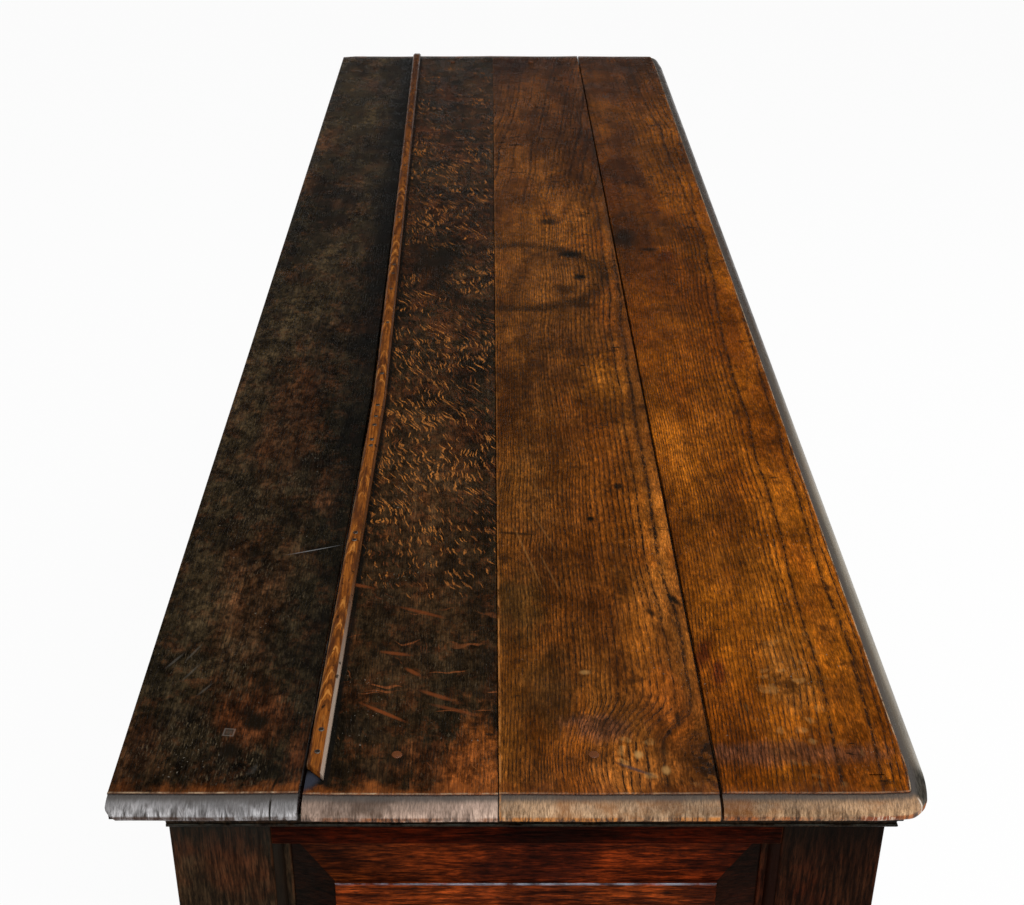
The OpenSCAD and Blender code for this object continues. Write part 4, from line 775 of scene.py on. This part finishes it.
# Dirt down in a joint, and the sheen and fine relief of a waxed board
joint_dirt, j, ends = group("joint_dirt", {"Side": 0.0, "Colour": plain, "Joint": 0.0, "Half": 0.0005},
                            ["Colour"])
seam = ramp(abs(j.Side - j.Joint), j.Half * 0.5, j.Half, 1.0, 0.0)
feed(ends, {"Colour": tint(seam, j.Colour, rgb(0.005, 0.003, 0.002))})

sheen, h, ends = group("board_sheen", {"Vector": None, "Line": 0.0, "Pore": 0.0, "Fibre": 0.0, "Sawn": 0.0,
                                       "Dull": 0.0}, ["Gloss", "Height"])
gloss = ramp(cloud(h.Vector, 30.0, 5.0, 0.65), 0.3, 0.7, 0.19, 0.33) + calc("MAXIMUM", h.Pore, h.Line) * 0.15
feed(ends, {"Gloss": calc("MAXIMUM", gloss, h.Dull * 0.95),
            "Height": h.Fibre * 0.6 - (h.Pore * 0.8 + h.Line * 0.5) + h.Sawn * 4.5})

ragged = {"Stain": 0.6, "Dent": 0.25, "Ring": 0.07, "Box": 0.0, "Scratch": 0.20, "Crack": 0.05}


def marked(colour, where, marks):
    """Marks laid over a board: each has its place, length, width, turn, tone, strength and kind."""
    for along, back, long, wide, turn, tone, strength, kind in marks:
        mark = use(spot, Vector=where, Centre=on_top(along, back), Size=(long, wide, 0.3), Turn=turn,
                   Ragged=ragged[kind])
        mask = {"Ring": mark.Ring, "Box": mark.Box}.get(kind, mark.Mask)
        colour = tint(mask * strength, colour, tone)
    return colour


def with_rays(colour, where, fibre, amount):
    """Rays cut along their length: fine dashes over most of a board, and long slanting ones near its end."""
    x = split(where)[0]
    cover = ramp(x, left_end + 0.10, left_end + 0.40, -0.02, 0.82) - ramp(x, 0.50, 0.80, 0.0, 0.70)
    cover = cover + ramp(cloud(where, 12.0, 2.0), 0.3, 0.7, -0.30, 0.25)
    dashes = use(flecks, Vector=where, Cover=cover)
    brightest = ramp(abs(x - (left_end + 0.44)), 0.05, 0.32, 0.14, -0.04)
    lit = dashes.Shade + brightest + ramp(cloud(where, 16.0, 2.0), 0.35, 0.65, -0.4, 0.4)
    unlit = ramp(x, left_end + 0.20, left_end + 0.36, 0.30, 0.0)
    lit = calc("SUBTRACT", ramp(lit, 0.1, 0.9), unlit, clamp=True)
    bright = tint(lit ** 2.4, rgb(0.085, 0.026, 0.008), rgb(0.38, 0.135, 0.026))
    colour = tint(dashes.Mask * amount, colour, bright)
    sway = (cloud(where, 30.0, 2.0) - 0.5) * 0.03
    slanting = streaks(vector("ADD", where, xyz(sway)), (150.0, 17.0, 100.0), 2.0, 0.5, turn=0.30)
    near = ramp(x, left_end + 0.30, left_end + 0.12, 0.0, amount) * ramp(x, left_end + 0.06, left_end + 0.10)
    slanting = ramp(slanting, 0.64, 0.70) * (near * ramp(fibre, 0.35, 0.6, 0.35, 1.0))
    return tint(slanting, colour, rgb(0.17, 0.050, 0.014))


def board_oak(name, dark, light, warm, pith, width, marks, line_depth=0.8, mottled=0.3, hatch=0.0, rays=0.0,
              swirl=None, knots=(), gold_line=0.0, dirty=(), end_dark=None, end_light=None, warm_end=0.5,
              foot_tone=rgb(0.46, 0.170, 0.035), hatched=1.0, splinter=None, far_tone=white, pale_end=0.9,
              clear=None, far_rings=None, seed=0.0):
    """Oak of one top board: growth rings, pores and clouds, then its own flecks, stains and worn edges."""
    made, shader, where = new_material(name, specular=0.11)
    x, y, _ = split(where)
    shift_y, depth, turn = pith
    laid = stretched(where, (1.0, 1.0, 1.0), turn, (0.0, shift_y, depth - top_z))
    if swirl:
        push = use(spot, Vector=where, Centre=swirl[0], Size=swirl[1], Ragged=0.05).Mask * swirl[2]
        laid = vector("ADD", laid, xyz(0.0, push))
    near_rings = use(rings, Vector=laid, Width=width)
    shows = streaks(where, (7.0, 19.0, 7.0), 4.0, 0.6, shift=(0.0, seed, 0.0))
    shows = ramp(shows, 0.36, 0.56, line_depth * 0.62, line_depth)
    shows = calc("MAXIMUM", shows, ramp(x, 0.1, 0.5, 0.0, line_depth))
    if clear:
        shows = calc("MAXIMUM", shows, ramp(y, *clear, line_depth, 0.0))
    line = near_rings.Line
    if far_rings:
        far_width, far_turn, far_shift = far_rings
        wide = use(rings, Vector=stretched(where, (1.0, 1.0, 1.0), far_turn, (0.0, far_shift, 0.06 - top_z)),
                   Width=far_width).Line
        far_part = ramp(x, 0.05, 0.30)
        line = line * (1.0 - far_part) + wide * far_part

    colour = use(tones, Vector=where, Seed=seed, Dark=dark, Light=light, Warm=warm).Colour
    colour = marked(colour, where, [mark for mark in marks if mark[7] == "Stain"])
    lying = use(figure, Vector=where, Seed=seed, Colour=colour, Warm=warm, Mottled=mottled, Hatch=hatch)
    colour = with_rays(lying.Colour, where, lying.Fibre, rays) if rays else lying.Colour
    colour = use(dirt_and_painted_light, Vector=where, Seed=seed, Colour=colour, Dark=dark, Far=far_tone, Line=line,
                 Pore=near_rings.Pore, Glint=near_rings.Glint, Shows=shows, Glow=lying.Glow,
                 Mottle=lying.Mottle).Colour
    for along, back, long, wide, strength in knots:
        there = use(spot, Vector=where, Centre=on_top(along, back), Size=(long, wide, 0.3), Ragged=0.5).Mask
        eye = use(eyes, Vector=where, Scale=92.0)
        colour = tint(eye.Rim * there * strength, colour, dark)
        pale = eye.Mask * ramp(lying.Fibre, 0.3, 0.6, 0.3, 1.0) * there * strength
        colour = tint(pale, colour, cream)
    colour = marked(colour, where, [mark for mark in marks if mark[7] not in ("Stain", "Crack")])

    thumb = use(moulded, Vector=where, Seed=seed, Colour=colour, Light=light, EndDark=end_dark,
                EndLight=end_light, FootTone=foot_tone, WarmEnd=warm_end, Hatched=hatched,
                Fibre=lying.Fibre, Mottle=lying.Mottle)
    colour = thumb.Colour
    if splinter:
        torn = use(spot, Vector=where, Centre=splinter, Size=(0.02, 0.013, 0.3), Ragged=0.2).Mask
        torn = torn * ramp(thumb.Edge + (lying.Mottle - 0.5) * 0.6, 1.90, 1.97)
        fresh = tint(ramp(thumb.Ridges, 0.50, 0.60), rgb(0.20, 0.045, 0.012), rgb(0.50, 0.36, 0.26))
        colour = tint(torn, colour, fresh)
        # A painted highlight along the mitre of each front corner
        mitre_highlight = abs(y - front_edge - (right_end - abs(x)))
        mitre_highlight = ramp(mitre_highlight + lying.Mottle * 0.002, 0.0012, 0.0024, 1.0, 0.0) * ramp(thumb.Edge, 1.5, 1.7)
        colour = tint(mitre_highlight, colour, rgb(0.52, 0.44, 0.36))
    # Below the thumb's lower arris the underside is painted near black as shade
    colour = tint(ramp(thumb.Edge, 2.97, 3.1), colour, rgb(0.005, 0.003, 0.002))
    colour = marked(colour, where, [mark for mark in marks if mark[7] == "Crack"])
    colour = use(arris_shade_and_highlight, Vector=where, Colour=colour, Edge=thumb.Edge, Front=thumb.Front,
                 Pale=pale_end).Colour
    for joint, half in dirty:
        colour = use(joint_dirt, Side=y, Colour=colour, Joint=joint, Half=half).Colour
    if gold_line:
        rubbed = ramp(streaks(where, (60.0, 300.0, 60.0), 4.0, 0.7), 0.40, 0.56)
        rubbed = rubbed * ramp(x, left_end + 0.42, left_end + 0.16, 0.25, 0.9)
        gold = ramp(y, gold_line - 0.0024, gold_line - 0.0012) * rubbed
        gold = gold * ramp(y, gold_line - 0.0005, gold_line - 0.0008)
        colour = tint(gold, colour, rgb(0.33, 0.13, 0.032))
    surface = use(sheen, Vector=where, Line=near_rings.Line, Pore=near_rings.Pore, Fibre=lying.Fibre,
                  Sawn=thumb.Sawn, Dull=thumb.Dull)
    feed(shader, {"Base Color": colour, "Roughness": surface.Gloss})
    bump(shader, surface.Height, 0.6, 0.00028)
    return made


ink, rust, umber = rgb(0.006, 0.004, 0.002), rgb(0.12, 0.030, 0.007), rgb(0.022, 0.008, 0.002)
cream, chalk = rgb(0.40, 0.210, 0.065), rgb(0.26, 0.24, 0.21)
glass_ring = (0.862, 0.276, 0.092, 0.093, 0.0, ink, 0.62, "Ring")
joint_23, joint_34 = third_high.y, third_low.y
rear_oak = board_oak(
    "rear_oak", rgb(0.0066, 0.0050, 0.0025), rgb(0.024, 0.0155, 0.0070), rgb(0.043, 0.0150, 0.0052),
    pith=(-0.60, 0.25, 0.02), width=0.0024, marks=[
        (0.643, 0.084, 0.13, 0.045, 0.0, ink, 0.7, "Stain"),
        (1.145, 0.057, 0.06, 0.03, 0.0, ink, 0.7, "Stain"),
        (0.225, 0.063, 0.10, 0.030, 0.0, rust, 0.12, "Stain"),
        (0.088, 0.082, 0.038, 0.028, 0.0, rust, 0.42, "Stain"),
        (0.045, 0.118, 0.03, 0.010, 0.0, rust, 0.4, "Stain"),
        (0.054, 0.072, 0.010, 0.007, 0.0, ink, 0.95, "Dent"),
        (0.083, 0.085, 0.010, 0.011, 0.0, ink, 0.98, "Dent"),
        (0.520, 0.060, 0.14, 0.030, 0.0, rust, 0.20, "Stain"),
        (0.045, 0.010, 0.05, 0.02, 0.0, rust, 0.2, "Stain"),
        (0.370, 0.050, 0.10, 0.04, 0.0, ink, 0.5, "Stain"),
        (0.040, 0.040, 0.04, 0.05, 0.0, ink, 0.4, "Stain"),
        (0.165, 0.100, 0.06, 0.03, 0.0, ink, 0.5, "Stain"),
        (0.034, 0.089, 0.007, 0.0035, 0.4, chalk, 0.22, "Stain"),
        (0.072, 0.0685, 0.0040, 0.0039, 0.1, chalk, 0.20, "Box"),
        (0.072, 0.0685, 0.0036, 0.0034, 0.0, rgb(0.05, 0.045, 0.035), 0.5, "Dent"),
        (0.2955, 0.1028, 0.0007, 0.022, -0.32, rgb(0.20, 0.20, 0.20), 0.6, "Scratch"),
        (0.150, 0.018, 0.011, 0.0012, 0.5, chalk, 0.11, "Scratch"),
        (0.137, 0.032, 0.012, 0.0012, 0.45, chalk, 0.10, "Scratch"),
        (0.118, 0.045, 0.009, 0.0010, 0.55, chalk, 0.10, "Scratch"),
        (0.160, 0.030, 0.012, 0.0010, 0.4, chalk, 0.10, "Scratch"),
        (0.0240, 0.1060, 0.0120, 0.0011, 0.19, ink, 1.0, "Crack"),
        (0.0040, 0.1042, 0.0130, 0.0009, 0.0, ink, 1.0, "Crack")],
    line_depth=0.35, mottled=1.0, hatch=0.7, end_dark=rgb(0.028, 0.026, 0.024),
    end_light=rgb(0.50, 0.49, 0.50), warm_end=0.6, far_tone=rgb(1.6, 1.6, 1.45),
    foot_tone=rgb(0.080, 0.058, 0.050), hatched=0.4, seed=2.0)
second_oak = board_oak(
    "second_oak", rgb(0.0075, 0.0054, 0.0025), rgb(0.024, 0.0118, 0.0045), rgb(0.066, 0.0180, 0.0044),
    pith=(-0.90, 0.05, 0.0), width=0.0022, marks=[
        (0.904, 0.180, 0.085, 0.036, 0.0, ink, 0.8, "Dent"), glass_ring,
        (0.026, 0.236, 0.070, 0.024, 0.0, rgb(0.150, 0.040, 0.006), 0.75, "Stain"),
        (0.036, 0.212, 0.024, 0.036, 0.3, rgb(0.105, 0.028, 0.006), 0.4, "Stain"),
        (0.092, 0.171, 0.0020, 0.0185, 0.56, rust, 1.0, "Scratch"),
        (0.159, 0.175, 0.0022, 0.013, 0.2, rust, 0.8, "Scratch"),
        (0.137, 0.189, 0.0022, 0.008, 0.7, rust, 0.8, "Scratch"),
        (0.111, 0.206, 0.0024, 0.014, 0.45, rust, 0.8, "Scratch"),
        (0.095, 0.220, 0.0022, 0.018, 0.35, rust, 0.6, "Scratch"),
        (0.246, 0.140, 0.0026, 0.016, 0.3, rust, 0.8, "Scratch"),
        (0.210, 0.192, 0.0024, 0.020, 0.4, rust, 0.7, "Scratch"),
        (0.047, 0.182, 0.010, 0.010, 0.0, ink, 0.6, "Dent"),
        (0.024, 0.1275, 0.0135, 0.0065, 0.5, rgb(0.024, 0.026, 0.036), 1.0, "Crack"),
        (0.174, 0.1995, 0.003, 0.003, 0.0, ink, 0.9, "Dent"),
        (0.020, 0.155, 0.03, 0.02, 0.0, ink, 0.5, "Stain")],
    line_depth=0.35, mottled=0.8, hatch=0.5, rays=0.92, end_dark=rgb(0.100, 0.068, 0.051),
    end_light=rgb(0.64, 0.46, 0.36), warm_end=0.75, far_tone=rgb(1.3, 1.25, 1.1), dirty=[(joint_23, 0.0005)],
    foot_tone=rgb(0.22, 0.080, 0.030), hatched=0.7, seed=5.5)
third_oak = board_oak(
    "third_oak", rgb(0.063, 0.0185, 0.0030), rgb(0.180, 0.0590, 0.0075), rgb(0.13, 0.0340, 0.0030),
    pith=(0.140, 0.120, 0.01), width=0.00190, marks=[
        glass_ring, (0.900, 0.335, 0.06, 0.034, 0.0, umber, 0.6, "Stain"),
        (0.925, 0.336, 0.012, 0.016, 0.0, ink, 1.0, "Dent"),
        (0.858, 0.344, 0.009, 0.011, 0.0, ink, 1.0, "Dent"),
        (0.823, 0.327, 0.016, 0.016, 0.0, umber, 0.85, "Dent"),
        (0.780, 0.346, 0.009, 0.015, 0.0, umber, 0.8, "Dent"),
        (1.030, 0.314, 0.013, 0.015, 0.0, ink, 0.8, "Dent"),
        (0.340, 0.328, 0.011, 0.008, 0.0, ink, 0.85, "Stain"),
        (0.343, 0.326, 0.004, 0.004, 0.0, ink, 1.0, "Dent"),
        (0.395, 0.353, 0.006, 0.005, 0.0, ink, 0.9, "Dent"),
        (0.225, 0.383, 0.010, 0.0035, -0.4, ink, 0.95, "Scratch"),
        (0.320, 0.264, 0.0022, 0.018, 0.1, ink, 0.7, "Scratch"),
        (0.345, 0.267, 0.026, 0.022, 0.0, umber, 0.3, "Ring"),
        (0.215, 0.265, 0.060, 0.022, 0.0, rgb(0.028, 0.016, 0.004), 0.7, "Stain"),
        (0.115, 0.284, 0.060, 0.022, 0.0, rgb(0.032, 0.017, 0.005), 0.6, "Stain"),
        (0.560, 0.285, 0.17, 0.05, 0.0, umber, 0.6, "Stain"),
        (0.400, 0.300, 0.09, 0.05, 0.0, rgb(0.085, 0.034, 0.007), 0.6, "Stain"),
        (0.80, 0.300, 0.22, 0.06, 0.0, rgb(0.060, 0.022, 0.006), 0.5, "Stain"),
        (0.60, 0.355, 0.06, 0.022, 0.0, rgb(0.30, 0.095, 0.008), 0.6, "Stain"),
        (0.078, 0.318, 0.016, 0.030, 0.0, rgb(0.070, 0.028, 0.016), 0.6, "Stain"),
        (0.170, 0.352, 0.070, 0.016, 0.0, rgb(0.22, 0.065, 0.006), 0.6, "Stain"),
        (0.100, 0.364, 0.060, 0.016, 0.0, rgb(0.18, 0.046, 0.005), 0.6, "Stain"),
        (0.360, 0.365, 0.08, 0.02, 0.0, rgb(0.20, 0.058, 0.004), 0.4, "Stain"),
        (0.400, 0.330, 0.22, 0.05, 0.0, rgb(0.068, 0.017, 0.001), 0.70, "Stain"),
        (0.047, 0.311, 0.010, 0.009, 0.0, ink, 0.6, "Dent"),
        (0.290, 0.272, 0.052, 0.0011, -0.23, rgb(0.26, 0.115, 0.030), 0.30, "Scratch"),
        (0.330, 0.285, 0.045, 0.0010, -0.30, rgb(0.24, 0.105, 0.028), 0.25, "Scratch"),
        (0.262, 0.290, 0.040, 0.0010, -0.26, rgb(0.24, 0.105, 0.028), 0.25, "Scratch"),
        (0.030, 0.340, 0.030, 0.034, 0.0, rgb(0.22, 0.070, 0.012), 0.6, "Stain"),
        (0.086, 0.370, 0.012, 0.0020, 0.0, ink, 0.8, "Scratch"),
        (0.210, 0.363, 0.007, 0.0030, -0.5, ink, 0.8, "Scratch"),
        (0.035, 0.337, 0.0018, 0.014, 0.5, rgb(0.030, 0.026, 0.030), 0.7, "Scratch"),
        (0.049, 0.3405, 0.0048, 0.0036, 0.0, cream, 0.7, "Dent"),
        (0.034, 0.357, 0.0048, 0.0030, 0.0, cream, 0.55, "Dent"),
        (0.137, 0.310, 0.0030, 0.0044, 0.0, cream, 0.4, "Dent")],
    line_depth=1.0, mottled=0.34, pale_end=0.35, far_rings=(0.0052, 0.10, 0.12),
    far_tone=rgb(0.52, 0.50, 0.60),
    swirl=(on_top(0.040, 0.343), (0.062, 0.056, 1.0), -0.020), knots=[(0.034, 0.346, 0.040, 0.036, 0.5)],
    gold_line=joint_23, dirty=[(joint_23, 0.0005), (joint_34, 0.0006)], end_dark=rgb(0.086, 0.048, 0.024),
    end_light=rgb(0.55, 0.360, 0.210), warm_end=0.5, seed=8.1)
golden_oak = board_oak(
    "golden_oak", rgb(0.074, 0.0180, 0.0010), rgb(0.204, 0.0590, 0.0032), rgb(0.148, 0.0360, 0.0017),
    pith=(0.240, 0.060, 0.03), width=0.0020, marks=[
        glass_ring, (0.980, 0.403, 0.040, 0.018, 0.0, ink, 0.8, "Dent"),
        (0.941, 0.428, 0.007, 0.013, 0.0, ink, 0.85, "Dent"),
        (0.919, 0.446, 0.020, 0.010, 0.0, rgb(0.07, 0.014, 0.003), 0.7, "Stain"),
        (0.369, 0.388, 0.008, 0.009, 0.0, ink, 0.8, "Dent"),
        (0.158, 0.396, 0.020, 0.007, 0.35, rgb(0.040, 0.007, 0.002), 0.85, "Stain"),
        (0.136, 0.404, 0.018, 0.0055, 0.10, rgb(0.040, 0.007, 0.002), 0.9, "Stain"),
        (0.050, 0.430, 0.013, 0.09, 0.0, rgb(0.058, 0.024, 0.014), 0.6, "Stain"),
        (0.320, 0.440, 0.10, 0.03, 0.0, umber, 0.3, "Stain"),
        (0.135, 0.455, 0.06, 0.02, 0.0, rgb(0.09, 0.045, 0.012), 0.35, "Stain")],
    line_depth=0.95, mottled=0.32, pale_end=0.35, far_rings=(0.0046, -0.04, 0.30),
    far_tone=rgb(0.58, 0.60, 0.60),
    clear=(-0.205, -0.165), knots=[(0.110, 0.452, 0.080, 0.034, 0.24), (0.045, 0.466, 0.030, 0.022, 0.2)],
    dirty=[(joint_34, 0.0006)], end_dark=rgb(0.080, 0.045, 0.023), end_light=rgb(0.53, 0.330, 0.178),
    warm_end=0.45, foot_tone=rgb(0.34, 0.105, 0.025), splinter=on_top(0.0, 0.490), seed=11.7)

board("top_board_rear", joint_ends[0] + 0.003, None, rear_oak, "front", 0.0, 0.0005)
board("top_board_second", joint_23 + 0.0001, joint_ends[0], second_oak, "back", shorten=-0.0012)
board("top_board_third", third_low.y, third_high.y, third_oak, shorten=-0.0006)
board("top_board_front", None, front_high.y, golden_oak)


# Plate strip: a narrow oak strip planted on the second board to stop dishes sliding, its arris taken
# off on the front side and its near end mitred. Its far tip is worn down.
_, strip_high = box_of("plate_strip")
strip_wide = 0.012
strip_oak, shader, where = new_material("strip_oak", specular=0.07)
x, y, z = split(where)
off = y - (bowed_line(x) - strip_wide / 2)
bend = (cloud(where, 24.0, 3.0, 0.6) - 0.5) * 0.060
arrow = x + bend + abs(off * 200.0) ** 1.5 * 0.021
chevron = calc("SINE", arrow * (6.2832 / 0.0270))
fibre = streaks(where, (30.0, 800.0, 500.0), 4.0, 0.7)
colour = tint(ramp(fibre, 0.3, 0.7), rgb(0.085, 0.022, 0.004), rgb(0.28, 0.088, 0.012))
faint = ramp(cloud(where, 17.0, 3.0), 0.38, 0.60, 0.0, 0.75)
colour = tint(ramp(chevron, -0.9, -0.2, 1.0, 0.0) * faint, colour, rgb(0.045, 0.014, 0.004))
colour = tint(ramp(chevron, 0.80, 0.98) * faint, colour, rgb(0.42, 0.165, 0.032))
patches = ramp(streaks(where, (26.0, 210.0, 60.0), 5.0, 0.7), 0.47, 0.60, 0.0, 0.85)
colour = tint(patches, colour, rgb(0.050, 0.016, 0.006))
# The chamfer on the front side is painted as a grey sheen at the near end, brown towards the far end
chamfer_sheen = tint(ramp(x, left_end + 0.08, left_end + 0.26), rgb(0.24, 0.19, 0.15), rgb(0.045, 0.016, 0.005))
colour = tint(ramp(off, -0.0037, -0.0043) * 0.85, colour, chamfer_sheen)
colour = tint(ramp(cloud(where, 210.0, 2.0, 0.5), 0.66, 0.71, 0.0, 0.85), colour, rgb(0.012, 0.006, 0.003))
back_arris = ramp(off, 0.0050, 0.0056) * ramp(cloud(where, 21.0, 3.0), 0.45, 0.65, 0.0, 0.8)
colour = tint(back_arris, colour, rgb(0.30, 0.17, 0.08))
# Painted shade along the foot of the strip, where it meets the board
colour = tint(ramp(z, top_z + 0.0014, top_z + 0.0004), colour, rgb(0.010, 0.006, 0.004))
colour = tint(ramp(x, 0.2, right_end, 0.0, 0.55), colour, rgb(0.030, 0.012, 0.006))
feed(shader, {"Base Color": colour, "Roughness": ramp(cloud(where, 60.0, 3.0), 0.3, 0.7, 0.22, 0.38)})
bump(shader, fibre, 0.4, 0.0004)
strip = soften("plate_strip", strip_oak, "brown_oak", width=0.0005, shortest=0.002)
worn_length, worn_away = 0.03, 0.0032
worn_from = strip_high.x - worn_length
far_tip = bmesh.new()
far_tip.from_mesh(strip.data)
for share in (0.0, 0.4, 0.7):
    bmesh.ops.bisect_plane(far_tip, geom=every(far_tip), plane_co=(worn_from + worn_length * share, 0.0, 0.0),
                           plane_no=(1.0, 0.0, 0.0), dist=1e-6)
for v in far_tip.verts:
    if v.co.x > worn_from and v.co.z > top_z + 0.002:
        v.co.z -= worn_away * ((v.co.x - worn_from) / worn_length) ** 2
far_tip.to_mesh(strip.data)
far_tip.free()


# Nails of the strip: hand-made iron, rusty brown, driven through it into the second board, their flat
# heads hammered out a little wider than the shanks
nail_iron, shader, where = new_material("nail_iron", metallic=0.6)
rusty = cloud(where, 500.0, 3.0)
colour = tint(rusty, rgb(0.012, 0.009, 0.007), rgb(0.07, 0.045, 0.03))
colour = tint(use(wear, Vector=where).Arris * rusty, colour, rgb(0.24, 0.21, 0.18))
feed(shader, {"Base Color": colour, "Roughness": 0.5})
bump(shader, rusty, 0.5, 0.0003)
nails = soften("plate_strip_nails", nail_iron, "iron", width=0.0003, shortest=0.0002)
head_spread = 1.15
heads = bmesh.new()
heads.from_mesh(nails.data)
left_over = set(heads.verts)
while left_over:
    nail = [left_over.pop()]
    for v in nail:
        for e in v.link_edges:
            other = e.other_vert(v)
            if other in left_over:
                left_over.remove(other)
                nail.append(other)
    centre = sum((v.co for v in nail), Vector()) / len(nail)
    head = [v for v in nail if v.co.z > strip_high.z - 0.0002]
    bmesh.ops.scale(heads, vec=(head_spread, head_spread, 1.0), verts=head, space=Matrix.Translation(-centre))
heads.to_mesh(nails.data)
heads.free()


# The room: a white floor and background, soft light from above and the front, and the camera
# at the photograph's place, beside the left end and looking down along the top.
floor_bm = bmesh.new()
bmesh.ops.create_grid(floor_bm, x_segments=1, y_segments=1, size=30.0)
floor_mesh = bpy.data.meshes.new("floor")
floor_bm.to_mesh(floor_mesh)
floor_bm.free()
floor = bpy.data.objects.new("floor", floor_mesh)
bpy.context.scene.collection.objects.link(floor)
paper = bpy.data.materials.new("white_paper")
paper.use_nodes = True
tree = paper.node_tree
tree.nodes.clear()
path = outputs(add("ShaderNodeLightPath", tree=tree))
glow = add("ShaderNodeEmission", {"Color": white, "Strength": 1.0}, tree)
matt = add("ShaderNodeBsdfDiffuse", {"Color": rgb(0.9, 0.9, 0.9)}, tree)
seen = calc("MAXIMUM", calc("MAXIMUM", path.IsCameraRay, path.IsGlossyRay), path.IsTransmissionRay) * 0.94
mixed = add("ShaderNodeMixShader", {0: seen, 1: Value(matt.outputs[0]), 2: Value(glow.outputs[0])})
add("ShaderNodeOutputMaterial", {"Surface": Value(mixed.outputs[0])})
floor_mesh.materials.append(paper)

world = bpy.data.worlds.new("room")
bpy.context.scene.world = world
world.use_nodes = True
tree = world.node_tree
tree.nodes.clear()
path = outputs(add("ShaderNodeLightPath", tree=tree))
upwards = split(Value(add("ShaderNodeTexCoord", tree=tree).outputs["Generated"]))[2]
level = calc("MAXIMUM", path.IsCameraRay, path.IsTransmissionRay)
level = calc("MAXIMUM", level, path.IsGlossyRay * ramp(upwards, 0.0, 0.11, 1.0, 0.03))
level = calc("MAXIMUM", level, path.IsDiffuseRay * 0.45)
sky = add("ShaderNodeBackground", {"Color": white, "Strength": level})
add("ShaderNodeOutputWorld", {"Surface": Value(sky.outputs[0])})


def lamp(name, place, target, size, power):
    data = bpy.data.lights.new(name, "AREA")
    data.shape = "RECTANGLE"
    data.size, data.size_y = size
    data.energy = power
    made = bpy.data.objects.new(name, data)
    bpy.context.scene.collection.objects.link(made)
    made.location = place
    made.rotation_euler = (Vector(target) - Vector(place)).to_track_quat("-Z", "Y").to_euler()


lamp("overhead", (-1.3, -0.5, 3.1), (0.0, 0.0, 0.8), (2.0, 2.0), 62.0)
lamp("front_soft", (0.3, -3.0, 1.3), (0.0, 0.0, 0.5), (2.6, 1.4), 30.0)
lamp("end_soft", (-3.0, -0.2, 0.55), (-0.9, 0.0, 0.7), (2.4, 0.9), 22.0)

tilt_down = 29.231
camera_data = bpy.data.cameras.new("camera")
camera_data.sensor_width = 36.0
camera_data.lens = 53.31
camera_data.shift_x = 0.0221
camera = bpy.data.objects.new("camera", camera_data)
bpy.context.scene.collection.objects.link(camera)
camera.location = (-1.6315, 0.0243, 1.4978)
camera.rotation_euler = (math.radians(90 - tilt_down), 0.0, math.radians(-90))
bpy.context.scene.camera = camera
bpy.context.scene.view_settings.view_transform = "Standard"
